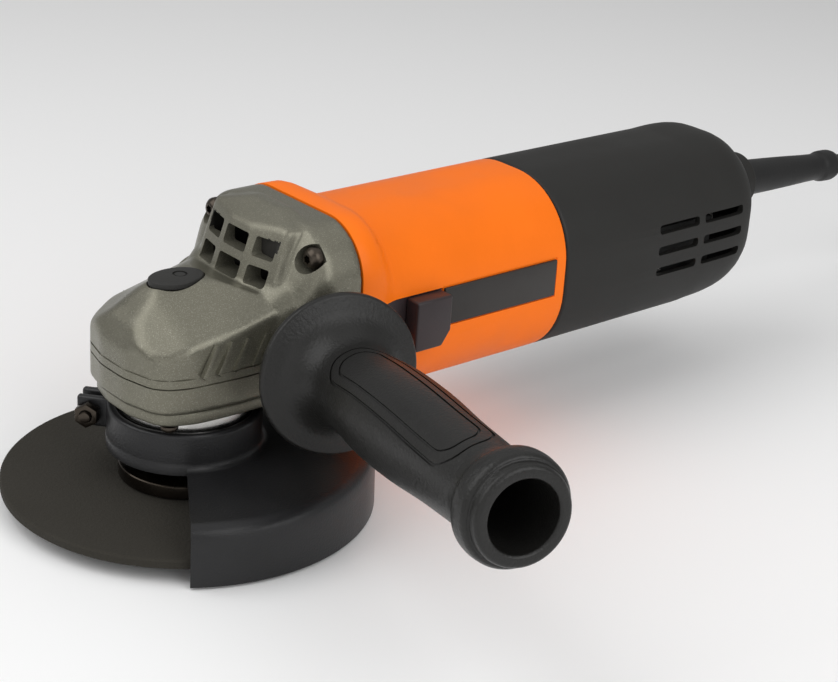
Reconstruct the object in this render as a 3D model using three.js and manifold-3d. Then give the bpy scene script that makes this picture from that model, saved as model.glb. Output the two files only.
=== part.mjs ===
// Angle grinder for 115 mm discs, built as one three.js group of separate pieces.
// Millimetres. +Z runs up the spindle, the gear head points to -Y, the tail to +Y
// and the side handle to +X. The guard's lower rim lies at z = 0.
import * as THREE from 'three';
import { mergeVertices } from 'three/addons/utils/BufferGeometryUtils.js';
import Module from 'manifold-3d';

const wasm = await Module();
wasm.setup();

// ---- driving sizes: whole tool -------------------------------------------------
const MOTOR_AXIS_HEIGHT = 55.6;
const BARREL_HALF_WIDTH = 31.4;
const BARREL_HALF_HEIGHT = 31.9;
const BARREL_SQUARENESS = 2.35;
const PARTING_Y = 42;
const COVER_JOINT_Y = 132.5;
const COVER_LENGTH = 105;
const TAIL_ROUNDING = 33;
const FIT_GAP = 0.3;

// ---- driving sizes: disc, guard and spindle ------------------------------------
const DISC_RADIUS = 57.5;
const DISC_THICKNESS = 3.2;
const DISC_BOTTOM = 4.2;
const DISC_BORE_RADIUS = 11.15;
const INNER_FLANGE_RADIUS = 20.9;
const INNER_FLANGE_THICKNESS = 4.6;
const GUARD_CLEARANCE = 2.2;
const GUARD_WALL = 1.3;
const GUARD_HEIGHT = 19.4;
const GUARD_START_ANGLE = -32;
const GUARD_COVER_ANGLE = 180;
const GUARD_COLLAR_TOP = 31.6;
const GUARD_COLLAR_WALL = 3;
const CLAMP_ANGLE = 221;
const CLAMP_SCREW_HEIGHT = 26;
const SPINDLE_NOSE_RADIUS = 6.9;
const SPINDLE_RADIUS = 6;
const SPINDLE_TOP_RADIUS = 4;
const SPINDLE_TOP = 62;
const SPINDLE_BOTTOM = 1.4;
const LOCK_NUT_RADIUS = 15;

// ---- driving sizes: gear head --------------------------------------------------
const HEAD_BOTTOM = 40;
const HEAD_TOP = 74.5;
const HEAD_HALF_WIDTH = 25.2;
const NOSE_REACH = 29.5;
const FLANGE_HALF_WIDTH = 33.4;
const FLANGE_HALF_HEIGHT = 34.2;
const FLANGE_RISE = 1.2;
const FLANGE_SQUARENESS = 4;
const FLANGE_FRONT_Y = 29;
const GEAR_CHAMBER_RADIUS = 21.3;
const GEAR_CHAMBER_TOP = 55;
const NECK_RADIUS = 21;
const PLATE_THICKNESS = 4.1;
const BEARING_BOX_BOTTOM = 24;
const SPINDLE_BEARING_RADIUS = 16;
const SPINDLE_BEARING_WIDTH = 9.6;
const BOX_SCREW_OFFSET = 17.3;
const CASE_SCREW_X = 26;
const CASE_SCREW_RISE = 26.5;
const VENT_ROWS = [[72, 77.5], [80, 86]];
const VENT_COLUMNS = [[-17, -8.5], [-5.5, 5.5], [8.5, 17]];
const VENT_BLOCK_TOP = 92.4;

// ---- driving sizes: bevel gears and spindle lock --------------------------------
const GEAR_TEETH = 30;
const PINION_TEETH = 10;
const GEAR_OUTER_RADIUS = 19.2;
const GEAR_FACE_WIDTH = 6.6;
const GEAR_BODY_THICKNESS = 5.5;
const TOOTH_RISE = 0.82;
const LOCK_HOLE_COUNT = 6;
const LOCK_PIN_RADIUS = 1.7;
const LOCK_PIN_Y = -9.3;
const LOCK_TRAVEL = 3.6;
const BUTTON_LENGTH = 18.5;
const BUTTON_WIDTH = 13;
const BUTTON_CENTRE_Y = -4;
const BUTTON_RISE = 0.4;

// ---- driving sizes: motor ------------------------------------------------------
const MOTOR_BORE_RADIUS = 26.9;
const STATOR_BORE_RADIUS = 17.2;
const ARMATURE_RADIUS = 16.4;
const CORE_START_Y = 68;
const CORE_LENGTH = 42;
const SHAFT_RADIUS = 4.6;
const FRONT_BEARING_RADIUS = 15;
const REAR_BEARING_RADIUS = 11;
const FAN_RADIUS = 26.5;
const FAN_BLADES = 11;
const COMMUTATOR_RADIUS = 11;
const BRUSH_SETBACK = 10.5;
const CARRIER_LENGTH = 35;
const COVER_WALL = 2.2;

// ---- driving sizes: switch, plate, handle and cord -------------------------------
const SWITCH_TRAVEL = 7;
const SLIDER_START_Y = 62.5;
const SLIDER_LENGTH = 14.5;
const SLIDER_BOTTOM = 47;
const SLIDER_TOP = 64;
const SLIDER_THICKNESS = 6.2;
const ROD_HEIGHT = 48.7;
const PLATE_LENGTH = 49.7;
const PLATE_HEIGHT = 13;
const HANDLE_BASE = [0, 35.3, 49.2];
const HANDLE_SWEEP = 15;
const HANDLE_LIFT = 5.7;
const BOSS_REACH = 39;
const BOSS_RADIUS = 11;
const STUD_RADIUS = 4;
const HANDLE_RIM_RADIUS = 25.3;
const GRIP_RADIUS = 14.8;
const HANDLE_END_RADIUS = 16;
const HANDLE_END = 167.6;
const HANDLE_BORE_RADIUS = 10.1;
const CORD_RADIUS = 3.7;
const CORD_EXIT_HEIGHT = 62;
const CORD_SLEEVE_RADIUS = 7;
const SNOUT_LENGTH = 16;
const SNOUT_BORE_RADIUS = 8.6;
const CORD_GUARD_LENGTH = 62;
const CORD_GUARD_DROOP = 3.5;
const COIL_SIDE_OFFSET = 35;
const COIL_BEYOND_SLEEVE = 142.5;
const COIL_RADIUS = 42;
const COIL_WIDTH = 30.4;
const COIL_HEIGHT = 14.4;

// ---- looks -----------------------------------------------------------------------
const LOOKS = {
  housing_metal: { color: 0x7d7a6c, roughness: 0.45, metalness: 0.6 },
  orange_plastic: { color: 0xff7e20, roughness: 0.42, metalness: 0 },
  black_plastic: { color: 0x2b2b29, roughness: 0.6, metalness: 0 },
  grip_plastic: { color: 0x282826, roughness: 0.55, metalness: 0 },
  guard_steel: { color: 0x232323, roughness: 0.5, metalness: 0.3 },
  bright_steel: { color: 0xb9b9b6, roughness: 0.28, metalness: 1 },
  dark_steel: { color: 0x3a3632, roughness: 0.35, metalness: 0.9 },
  abrasive: { color: 0x29261f, roughness: 0.95, metalness: 0 },
  copper: { color: 0xb06a3a, roughness: 0.35, metalness: 0.9 },
  lamination: { color: 0x6d7076, roughness: 0.45, metalness: 0.8 },
  brass: { color: 0xb89a52, roughness: 0.35, metalness: 0.9 },
  carbon: { color: 0x1c1c1d, roughness: 0.8, metalness: 0.1 },
  white_plastic: { color: 0xd9d6cc, roughness: 0.5, metalness: 0 },
  rubber: { color: 0x1b1b1b, roughness: 0.7, metalness: 0 },
};

// ---- making and combining solids -------------------------------------------------
function signedVolume(geometry) {
  const position = geometry.attributes.position;
  const index = geometry.index;
  const a = new THREE.Vector3();
  const b = new THREE.Vector3();
  const c = new THREE.Vector3();
  let total = 0;
  for (let i = 0; i < index.count; i += 3) {
    a.fromBufferAttribute(position, index.getX(i));
    b.fromBufferAttribute(position, index.getX(i + 1));
    c.fromBufferAttribute(position, index.getX(i + 2));
    total += a.dot(b.cross(c)) / 6;
  }
  return total;
}

function turnInsideOut(geometry) {
  const index = geometry.index;
  for (let i = 0; i < index.count; i += 3) {
    const first = index.getX(i);
    index.setX(i, index.getX(i + 1));
    index.setX(i + 1, first);
  }
}

function solid(geometry) {
  const bare = geometry.clone();
  bare.deleteAttribute('normal');
  bare.deleteAttribute('uv');
  const merged = mergeVertices(bare, 1e-4);
  if (signedVolume(merged) < 0) turnInsideOut(merged);
  return new wasm.Manifold(new wasm.Mesh({
    numProp: 3,
    vertProperties: new Float32Array(merged.attributes.position.array),
    triVerts: new Uint32Array(merged.index.array),
  }));
}

function shapeOf(body) {
  const mesh = body.getMesh();
  const geometry = new THREE.BufferGeometry();
  geometry.setAttribute('position', new THREE.BufferAttribute(new Float32Array(mesh.vertProperties), 3));
  geometry.setIndex(new THREE.BufferAttribute(new Uint32Array(mesh.triVerts), 1));
  return geometry;
}

function join(...geometries) {
  return shapeOf(geometries.map(solid).reduce((whole, next) => whole.add(next)));
}

function cut(base, ...tools) {
  return shapeOf(tools.map(solid).reduce((rest, tool) => rest.subtract(tool), solid(base)));
}

function common(...geometries) {
  return shapeOf(geometries.map(solid).reduce((whole, next) => whole.intersect(next)));
}

function moved(geometry, x, y, z) {
  return geometry.clone().translate(x, y, z);
}

function mirrored(geometry) {
  return shapeOf(solid(geometry.clone().scale(-1, 1, 1)));
}

function block(x0, x1, y0, y1, z0, z1) {
  const box = new THREE.BoxGeometry(x1 - x0, y1 - y0, z1 - z0);
  return box.translate((x0 + x1) / 2, (y0 + y1) / 2, (z0 + z1) / 2);
}

// A profile of [radius, height] points turned about Z, or about Y for the motor line.
function turnedZ(profile, segments = 32) {
  return turnedY(profile, segments).rotateX(Math.PI / 2);
}

function turnedY(profile, segments = 28) {
  const points = profile.map(([radius, along]) => new THREE.Vector2(radius, along));
  return new THREE.LatheGeometry(points, segments);
}

function ring(inner, outer, start, end) {
  return [[inner, start], [outer, start], [outer, end], [inner, end], [inner, start]];
}

function rod(radius, start, end) {
  return [[0, start], [radius, start], [radius, end], [0, end]];
}

// Outlines extruded along one axis: points are (x, y), (y, z) or (x, z).
function extruded(points, depth) {
  const shape = new THREE.Shape(points.map(([a, b]) => new THREE.Vector2(a, b)));
  return new THREE.ExtrudeGeometry(shape, { depth, bevelEnabled: false });
}

function alongZ(points, z0, z1) {
  return extruded(points, z1 - z0).translate(0, 0, z0);
}

function alongX(points, x0, x1) {
  const turn = new THREE.Matrix4().makeBasis(
    new THREE.Vector3(0, 1, 0), new THREE.Vector3(0, 0, 1), new THREE.Vector3(1, 0, 0));
  return extruded(points, x1 - x0).applyMatrix4(turn).translate(x0, 0, 0);
}

function alongY(points, y0, y1) {
  const swapped = points.map(([x, z]) => [z, x]);
  const turn = new THREE.Matrix4().makeBasis(
    new THREE.Vector3(0, 0, 1), new THREE.Vector3(1, 0, 0), new THREE.Vector3(0, 1, 0));
  return extruded(swapped, y1 - y0).applyMatrix4(turn).translate(0, y0, 0);
}

function withMirror(half) {
  return [...half, ...half.map(([x, y]) => [-x, y]).reverse()];
}

// A closed skin over rings that have the same number of points, ends capped flat.
function loft(rings) {
  const count = rings[0].length;
  const positions = [];
  const index = [];
  rings.forEach((points) => points.forEach((point) => positions.push(point.x, point.y, point.z)));
  for (let layer = 0; layer < rings.length - 1; layer += 1) {
    for (let i = 0; i < count; i += 1) {
      const a = layer * count + i;
      const b = layer * count + ((i + 1) % count);
      index.push(a, b, b + count, a, b + count, a + count);
    }
  }
  [0, rings.length - 1].forEach((layer) => {
    const centre = new THREE.Vector3();
    rings[layer].forEach((point) => centre.addScaledVector(point, 1 / count));
    const hub = positions.length / 3;
    positions.push(centre.x, centre.y, centre.z);
    for (let i = 0; i < count; i += 1) {
      const a = layer * count + i;
      const b = layer * count + ((i + 1) % count);
      index.push(...(layer === 0 ? [hub, b, a] : [hub, a, b]));
    }
  });
  const geometry = new THREE.BufferGeometry();
  geometry.setAttribute('position', new THREE.Float32BufferAttribute(positions, 3));
  geometry.setIndex(index);
  return geometry;
}

// A superellipse in a plane of constant y: squareness 2 is an ellipse, 4 a soft square.
function ovalRing(y, halfWidth, halfHeight, centreZ, squareness, count = 32) {
  return Array.from({ length: count }, (_, i) => {
    const angle = ((i + 0.5) / count) * 2 * Math.PI;
    const cos = Math.cos(angle);
    const sin = Math.sin(angle);
    const x = halfWidth * Math.sign(cos) * Math.abs(cos) ** (2 / squareness);
    const z = halfHeight * Math.sign(sin) * Math.abs(sin) ** (2 / squareness);
    return new THREE.Vector3(x, y, centreZ + z);
  });
}

function barrelRing(y, inset) {
  return ovalRing(y, BARREL_HALF_WIDTH - inset, BARREL_HALF_HEIGHT - inset, MOTOR_AXIS_HEIGHT,
    BARREL_SQUARENESS);
}

function flangeRing(y, inset) {
  return ovalRing(y, FLANGE_HALF_WIDTH - inset, FLANGE_HALF_HEIGHT - inset,
    MOTOR_AXIS_HEIGHT + FLANGE_RISE, FLANGE_SQUARENESS);
}

// A solid made about the motor axis at the origin, lifted to its real height.
function onMotorAxis(geometry) {
  return moved(geometry, 0, 0, MOTOR_AXIS_HEIGHT);
}

const handleFrame = new THREE.Euler(
  0, -THREE.MathUtils.degToRad(HANDLE_LIFT), -THREE.MathUtils.degToRad(HANDLE_SWEEP), 'ZYX');

// A [radius, distance] profile turned about the slanting handle axis.
function turnedOnHandle(profile, segments = 24) {
  return turnedZ(profile, segments).rotateY(Math.PI / 2);
}

function placedOnHandle(geometry) {
  const place = new THREE.Matrix4().makeRotationFromEuler(handleFrame);
  place.setPosition(...HANDLE_BASE);
  return geometry.clone().applyMatrix4(place);
}

function piece(name, outline, look) {
  const geometry = shapeOf(solid(outline));
  geometry.computeVertexNormals();
  const mesh = new THREE.Mesh(geometry, new THREE.MeshStandardMaterial(LOOKS[look]));
  mesh.name = name;
  return mesh;
}

const grinder = new THREE.Group();
const motorLine = new THREE.Group();
motorLine.position.z = MOTOR_AXIS_HEIGHT;
grinder.add(motorLine);

// ---- bevel gears ------------------------------------------------------------------
// Both gears taper towards the point where the two axes cross, so one pitch line fits both.
const gearPitchRadius = GEAR_OUTER_RADIUS - GEAR_FACE_WIDTH / 2;
const pinionPitchRadius = gearPitchRadius * PINION_TEETH / GEAR_TEETH;
const coneSlope = pinionPitchRadius / gearPitchRadius;
const toothShare = [[-0.27, -1.3], [-0.13, 1], [0.13, 1], [0.27, -1.3]];

function gearRing(radius, teeth, rise) {
  return Array.from({ length: teeth * 4 }, (_, i) => {
    const [share, level] = toothShare[i % 4];
    const angle = Math.PI / 2 + (2 * Math.PI / teeth) * (Math.floor(i / 4) + 0.5 + share);
    return { angle, lift: level * rise * (radius / gearPitchRadius) };
  });
}

function makeDrivenGear() {
  const bottom = MOTOR_AXIS_HEIGHT - coneSlope * GEAR_OUTER_RADIUS - GEAR_BODY_THICKNESS;
  const innerRadius = GEAR_OUTER_RADIUS - GEAR_FACE_WIDTH;
  const toothed = (radius) => gearRing(radius, GEAR_TEETH, TOOTH_RISE).map(({ angle, lift }) =>
    new THREE.Vector3(radius * Math.cos(angle), radius * Math.sin(angle),
      MOTOR_AXIS_HEIGHT - coneSlope * radius + lift));
  const plain = (radius, z) => gearRing(radius, GEAR_TEETH, 0).map(({ angle }) =>
    new THREE.Vector3(radius * Math.cos(angle), radius * Math.sin(angle), z));
  const webTop = bottom + GEAR_BODY_THICKNESS * 0.8;
  const blank = loft([plain(GEAR_OUTER_RADIUS, bottom), toothed(GEAR_OUTER_RADIUS),
    toothed(innerRadius), plain(innerRadius - 0.4, webTop)]);
  const hub = turnedZ(rod(SPINDLE_RADIUS + 2.6, bottom - 2.5, webTop - 0.5), 24);
  const bore = turnedZ(rod(SPINDLE_RADIUS + FIT_GAP, bottom - 5, webTop + 5), 24);
  const lockHoles = Array.from({ length: LOCK_HOLE_COUNT }, (_, i) => {
    const hole = turnedZ(rod(LOCK_PIN_RADIUS + 0.5, bottom - 5, webTop + 5), 12);
    return moved(hole, 0, LOCK_PIN_Y, 0).rotateZ((i / LOCK_HOLE_COUNT) * 2 * Math.PI);
  });
  return cut(join(blank, hub), bore, ...lockHoles);
}

function makePinion() {
  const nearY = gearPitchRadius - GEAR_FACE_WIDTH / 2 + 0.3;
  const farY = gearPitchRadius + GEAR_FACE_WIDTH / 2 - 0.3;
  const toothed = (y) => Array.from({ length: PINION_TEETH * 4 }, (_, i) => {
    const [share, level] = toothShare[i % 4];
    const angle = -Math.PI / 2 + (2 * Math.PI / PINION_TEETH) * (Math.floor(i / 4) + share);
    const radius = (coneSlope * gearPitchRadius + level * TOOTH_RISE) * (y / gearPitchRadius);
    return new THREE.Vector3(radius * Math.cos(angle), y, radius * Math.sin(angle));
  });
  const bore = turnedY(rod(pinionShaftRadius + FIT_GAP, 0, 40), 16);
  return cut(loft([toothed(nearY), toothed(farY)]), bore);
}

const pinionShaftRadius = 1.9;
const gearBottom = MOTOR_AXIS_HEIGHT - coneSlope * GEAR_OUTER_RADIUS - GEAR_BODY_THICKNESS;
grinder.add(piece('driven_gear', makeDrivenGear(), 'dark_steel'));
motorLine.add(piece('pinion_gear', makePinion(), 'bright_steel'));

// ---- gear housing --------------------------------------------------------------------
const ventDuctHalfWidth = VENT_COLUMNS[2][1] + 0.5;
const fanChamberRadius = FAN_RADIUS + 2.4;
const fanChamberStart = 35;
const bearingSeatStart = 24.3;

function headPlan(inset) {
  return withMirror([
    [10, -NOSE_REACH + inset],
    [HEAD_HALF_WIDTH - 4.9, -NOSE_REACH + 8.2 + inset],
    [HEAD_HALF_WIDTH - 1 - inset, 0],
    [HEAD_HALF_WIDTH - inset, 10],
    [HEAD_HALF_WIDTH + 4 - inset, 21],
    [FLANGE_HALF_WIDTH - inset, FLANGE_FRONT_Y],
    [FLANGE_HALF_WIDTH - inset, PARTING_Y],
  ]);
}

// A thick slab whose lower face is the sloping top facet on one side of the head.
function facetSlab(side) {
  const normal = new THREE.Vector3(side * 406, -148, 561).normalize();
  const turn = new THREE.Quaternion().setFromUnitVectors(new THREE.Vector3(0, 0, 1), normal);
  return new THREE.BoxGeometry(150, 150, 50).translate(0, 0, 25).applyQuaternion(turn)
    .translate(side * (HEAD_HALF_WIDTH - 17.2), 0, HEAD_TOP);
}

function makeHeadShell() {
  const noseSide = [[-NOSE_REACH, HEAD_BOTTOM], [-NOSE_REACH, 58], [-NOSE_REACH + 2.5, HEAD_TOP - 12],
    [-12, HEAD_TOP], [26, HEAD_TOP], [26, HEAD_BOTTOM]];
  const head = cut(
    common(alongZ(headPlan(0), HEAD_BOTTOM, HEAD_TOP), alongX(noseSide, -40, 40)),
    facetSlab(1), facetSlab(-1));
  const flangeTop = MOTOR_AXIS_HEIGHT + FLANGE_RISE + FLANGE_HALF_HEIGHT;
  const flangeBottom = flangeTop - 2 * FLANGE_HALF_HEIGHT;
  const shoulderSide = [[12, HEAD_BOTTOM], [12, 66], [21, 70], [FLANGE_FRONT_Y, flangeTop],
    [PARTING_Y, flangeTop], [PARTING_Y, flangeBottom], [FLANGE_FRONT_Y + 1, flangeBottom],
    [23.5, HEAD_BOTTOM]];
  const shoulder = common(alongZ(headPlan(0), 0, 120), alongX(shoulderSide, -40, 40),
    loft([flangeRing(0, 0), flangeRing(PARTING_Y, 0)]));
  const ventPlan = withMirror([[8, 15], [17.8, 16.6], [20.7, 24], [21.6, 33]]);
  const ventSide = [[13, 60], [14.6, 71], [20.3, VENT_BLOCK_TOP - 1.4], [22, VENT_BLOCK_TOP],
    [33, VENT_BLOCK_TOP], [33, 60]];
  const ventFront = withMirror([[16.8, VENT_BLOCK_TOP], [21.6, VENT_BLOCK_TOP - 7], [21.6, 60]]);
  const ventBlock = common(alongZ(ventPlan, 60, VENT_BLOCK_TOP), alongX(ventSide, -40, 40),
    alongY(ventFront, 0, 40));
  return join(head, shoulder, ventBlock, makeBoss(1), makeBoss(-1));
}

function makeBoss(side) {
  const boss = placedOnHandle(turnedOnHandle(rod(BOSS_RADIUS, 18, BOSS_REACH), 20));
  return side > 0 ? boss : mirrored(boss);
}

function makeBossHole(side) {
  const depth = rod(STUD_RADIUS + FIT_GAP, 26, BOSS_REACH + 2);
  const hole = placedOnHandle(turnedOnHandle(depth, 16));
  return side > 0 ? hole : mirrored(hole);
}

const caseScrewPlaces = [[1, 1], [-1, 1], [1, -1], [-1, -1]].map(([side, level]) => [
  side * CASE_SCREW_X, MOTOR_AXIS_HEIGHT + FLANGE_RISE / 2 + level * CASE_SCREW_RISE]);
const boxScrewPlaces = [[1, -1], [-1, -1], [1, 1], [-1, 1]].map(([side, end]) => [
  side * BOX_SCREW_OFFSET, end * BOX_SCREW_OFFSET]);
const caseScrewHeadY = 30;
const screwShank = 1.9;

function buttonOutline(clearance) {
  const halfWidth = BUTTON_WIDTH / 2 + clearance;
  const halfLength = BUTTON_LENGTH / 2 + clearance;
  return Array.from({ length: 20 }, (_, i) => {
    const angle = (i / 20) * 2 * Math.PI;
    return [halfWidth * Math.cos(angle), halfLength * Math.sin(angle) + BUTTON_CENTRE_Y];
  });
}

const buttonFloor = HEAD_TOP - 5.5;
const springBottom = buttonFloor - 4.8;

function makeGearHousing() {
  const chambers = [
    turnedZ(rod(GEAR_CHAMBER_RADIUS, HEAD_BOTTOM - 20, GEAR_CHAMBER_TOP), 40),
    turnedZ(rod(SPINDLE_TOP_RADIUS + 2.3, GEAR_CHAMBER_TOP - 1, SPINDLE_TOP + 0.8), 20),
    onMotorAxis(turnedY(rod(8, 8.5, bearingSeatStart + 1), 20)),
    onMotorAxis(turnedY(rod(FRONT_BEARING_RADIUS + FIT_GAP, bearingSeatStart, 36), 32)),
    onMotorAxis(turnedY(rod(fanChamberRadius, fanChamberStart, PARTING_Y + 5), 40)),
    block(-ventDuctHalfWidth, ventDuctHalfWidth, 21.5, fanChamberStart + 1, 71, VENT_ROWS[1][1]),
  ];
  const windows = VENT_ROWS.flatMap(([z0, z1]) =>
    VENT_COLUMNS.map(([x0, x1]) => block(x0, x1, 13, 24, z0, z1)));
  const caseHoles = caseScrewPlaces.flatMap(([x, z]) => [
    moved(turnedY(rod(screwShank + FIT_GAP, 20, PARTING_Y + 5), 12), x, 0, z),
    moved(turnedY(rod(4.3, 8, caseScrewHeadY), 16), x, 0, z),
  ]);
  const boxHoles = boxScrewPlaces.map(([x, y]) =>
    moved(turnedZ(rod(1.9, HEAD_BOTTOM - 2, HEAD_BOTTOM + 10), 12), x, y, 0));
  const lockBore = moved(
    turnedZ(rod(LOCK_PIN_RADIUS + 0.5, GEAR_CHAMBER_TOP - 2, HEAD_TOP), 12), 0, LOCK_PIN_Y, 0);
  const springPocket = moved(turnedZ(rod(4.3, springBottom - 0.3, HEAD_TOP), 16), 0, LOCK_PIN_Y, 0);
  const buttonPocket = alongZ(buttonOutline(0.4), buttonFloor, HEAD_TOP + 5);
  return cut(makeHeadShell(), ...chambers, ...windows, ...caseHoles, ...boxHoles, lockBore,
    springPocket, buttonPocket, makeBossHole(1), makeBossHole(-1));
}

grinder.add(piece('gear_housing', makeGearHousing(), 'housing_metal'));

// ---- spindle lock: a sprung button whose pin drops into a hole in the driven gear --------
const buttonUnderside = buttonFloor + LOCK_TRAVEL + 0.6;
const buttonTop = HEAD_TOP + BUTTON_RISE;
const gearWebTop = gearBottom + GEAR_BODY_THICKNESS * 0.8;

function makeLockButton() {
  const cap = alongZ(buttonOutline(0), buttonUnderside, buttonTop);
  const pin = moved(turnedZ(rod(LOCK_PIN_RADIUS, gearWebTop + 1, buttonUnderside + 1), 12),
    0, LOCK_PIN_Y, 0);
  return join(cap, pin);
}

grinder.add(piece('spindle_lock_button', makeLockButton(), 'black_plastic'));
const lockSpring = piece('spindle_lock_spring',
  turnedZ(ring(LOCK_PIN_RADIUS + 0.7, 3.9, springBottom, buttonUnderside - FIT_GAP), 16), 'bright_steel');
lockSpring.position.y = LOCK_PIN_Y;
grinder.add(lockSpring);

// ---- case screws and bearing box screws ------------------------------------------------------
function screwProfile(headRadius, headHeight, shankLength) {
  return [[0, 0], [headRadius, 0], [headRadius, headHeight], [screwShank, headHeight],
    [screwShank, headHeight + shankLength], [0, headHeight + shankLength]];
}

caseScrewPlaces.forEach(([x, z], i) => {
  const screw = piece(`gear_housing_screw_${i + 1}`,
    turnedY(screwProfile(3.5, 4, 20), 16), 'dark_steel');
  screw.position.set(x, caseScrewHeadY - 4 - FIT_GAP, z);
  grinder.add(screw);
});

const plateTop = HEAD_BOTTOM - FIT_GAP;
const plateBottom = plateTop - PLATE_THICKNESS;
boxScrewPlaces.forEach(([x, y], i) => {
  const shank = [[0, 0], [2.8, 0], [2.8, 2.3], [1.5, 2.3], [1.5, 13], [0, 13]];
  const screw = piece(`bearing_box_screw_${i + 1}`, turnedZ(shank, 12), 'dark_steel');
  screw.position.set(x, y, plateBottom - 2.3 - FIT_GAP);
  grinder.add(screw);
});

// ---- bearing box: plate, neck that carries the guard, and the spindle bearing seat -------------
const bearingBottom = BEARING_BOX_BOTTOM + 3.3;
const bearingTop = bearingBottom + SPINDLE_BEARING_WIDTH;
const bearingInnerRadius = SPINDLE_RADIUS + FIT_GAP;

function makeBearingBox() {
  const outline = withMirror([[9.5, -NOSE_REACH + 1.2], [HEAD_HALF_WIDTH - 5, -NOSE_REACH + 9],
    [HEAD_HALF_WIDTH - 2, 0],
    [HEAD_HALF_WIDTH - 1.4, 19], [HEAD_HALF_WIDTH - 4, 21.5]]);
  const plate = alongZ(outline, plateBottom, plateTop);
  const neck = turnedZ(rod(NECK_RADIUS, BEARING_BOX_BOTTOM, plateBottom + 1), 40);
  const seat = turnedZ(rod(SPINDLE_BEARING_RADIUS + FIT_GAP, bearingBottom - FIT_GAP, plateTop + 1), 40);
  const throat = turnedZ(rod(11.5, BEARING_BOX_BOTTOM - 1, bearingTop), 32);
  const holes = boxScrewPlaces.map(([x, y]) =>
    moved(turnedZ(rod(1.9, plateBottom - 1, plateTop + 1), 12), x, y, 0));
  return cut(join(plate, neck), seat, throat, ...holes);
}

grinder.add(piece('bearing_box', makeBearingBox(), 'housing_metal'));
grinder.add(piece('spindle_bearing_outer',
  turnedZ(ring(13.2, SPINDLE_BEARING_RADIUS, bearingBottom, bearingTop)), 'bright_steel'));
grinder.add(piece('spindle_bearing_inner',
  turnedZ(ring(bearingInnerRadius, 8.8, bearingBottom, bearingTop), 32), 'bright_steel'));
grinder.add(piece('bearing_retainer',
  turnedZ(ring(12.2, SPINDLE_BEARING_RADIUS, bearingTop + FIT_GAP, bearingTop + 1.9)), 'dark_steel'));
grinder.add(piece('spindle_top_bush',
  turnedZ(ring(SPINDLE_TOP_RADIUS + 0.1, SPINDLE_TOP_RADIUS + 2, GEAR_CHAMBER_TOP, SPINDLE_TOP), 20), 'brass'));

// ---- spindle with what turns on it ----------------------------------------------------------------
const shoulderTop = bearingBottom - FIT_GAP;
const flangeBottomZ = DISC_BOTTOM + DISC_THICKNESS + FIT_GAP;
const flangeTopZ = GUARD_HEIGHT + 0.6;

grinder.add(piece('spindle', turnedZ([
  [0, SPINDLE_BOTTOM], [SPINDLE_NOSE_RADIUS, SPINDLE_BOTTOM], [SPINDLE_NOSE_RADIUS, flangeTopZ + FIT_GAP],
  [8.6, flangeTopZ + FIT_GAP], [8.6, shoulderTop], [SPINDLE_RADIUS, shoulderTop],
  [SPINDLE_RADIUS, gearWebTop], [SPINDLE_TOP_RADIUS, gearWebTop + 1], [SPINDLE_TOP_RADIUS, SPINDLE_TOP],
  [0, SPINDLE_TOP]], 28), 'bright_steel'));
grinder.add(piece('inner_flange', turnedZ([
  [SPINDLE_NOSE_RADIUS + FIT_GAP, DISC_BOTTOM + 0.6], [DISC_BORE_RADIUS - FIT_GAP, DISC_BOTTOM + 0.6],
  [DISC_BORE_RADIUS - FIT_GAP, flangeBottomZ], [INNER_FLANGE_RADIUS, flangeBottomZ],
  [INNER_FLANGE_RADIUS, flangeBottomZ + INNER_FLANGE_THICKNESS - 1],
  [INNER_FLANGE_RADIUS - 1, flangeBottomZ + INNER_FLANGE_THICKNESS],
  [13, flangeBottomZ + INNER_FLANGE_THICKNESS], [13, flangeTopZ], [SPINDLE_NOSE_RADIUS + FIT_GAP, flangeTopZ],
  [SPINDLE_NOSE_RADIUS + FIT_GAP, DISC_BOTTOM + 0.6]]), 'dark_steel'));
grinder.add(piece('grinding_disc', turnedZ(
  ring(DISC_BORE_RADIUS, DISC_RADIUS, DISC_BOTTOM, DISC_BOTTOM + DISC_THICKNESS), 56), 'abrasive'));
grinder.add(piece('lock_nut', turnedZ([
  [SPINDLE_NOSE_RADIUS + FIT_GAP, 0.9], [10.5, 0.9], [LOCK_NUT_RADIUS, 2.2],
  [LOCK_NUT_RADIUS, DISC_BOTTOM - FIT_GAP], [SPINDLE_NOSE_RADIUS + FIT_GAP, DISC_BOTTOM - FIT_GAP],
  [SPINDLE_NOSE_RADIUS + FIT_GAP, 0.9]], 32), 'dark_steel'));

// ---- wheel guard: pressed cap on a split collar, with a clamp screw ------------------------------------
const guardInside = DISC_RADIUS + GUARD_CLEARANCE;
const collarInside = NECK_RADIUS + 0.4;
const collarOutside = collarInside + GUARD_COLLAR_WALL;
const clampGroup = new THREE.Group();
clampGroup.rotation.z = THREE.MathUtils.degToRad(CLAMP_ANGLE);
grinder.add(clampGroup);
const lugGap = 3;
const lugThickness = 2.6;
const lugReach = 9.5;

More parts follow.
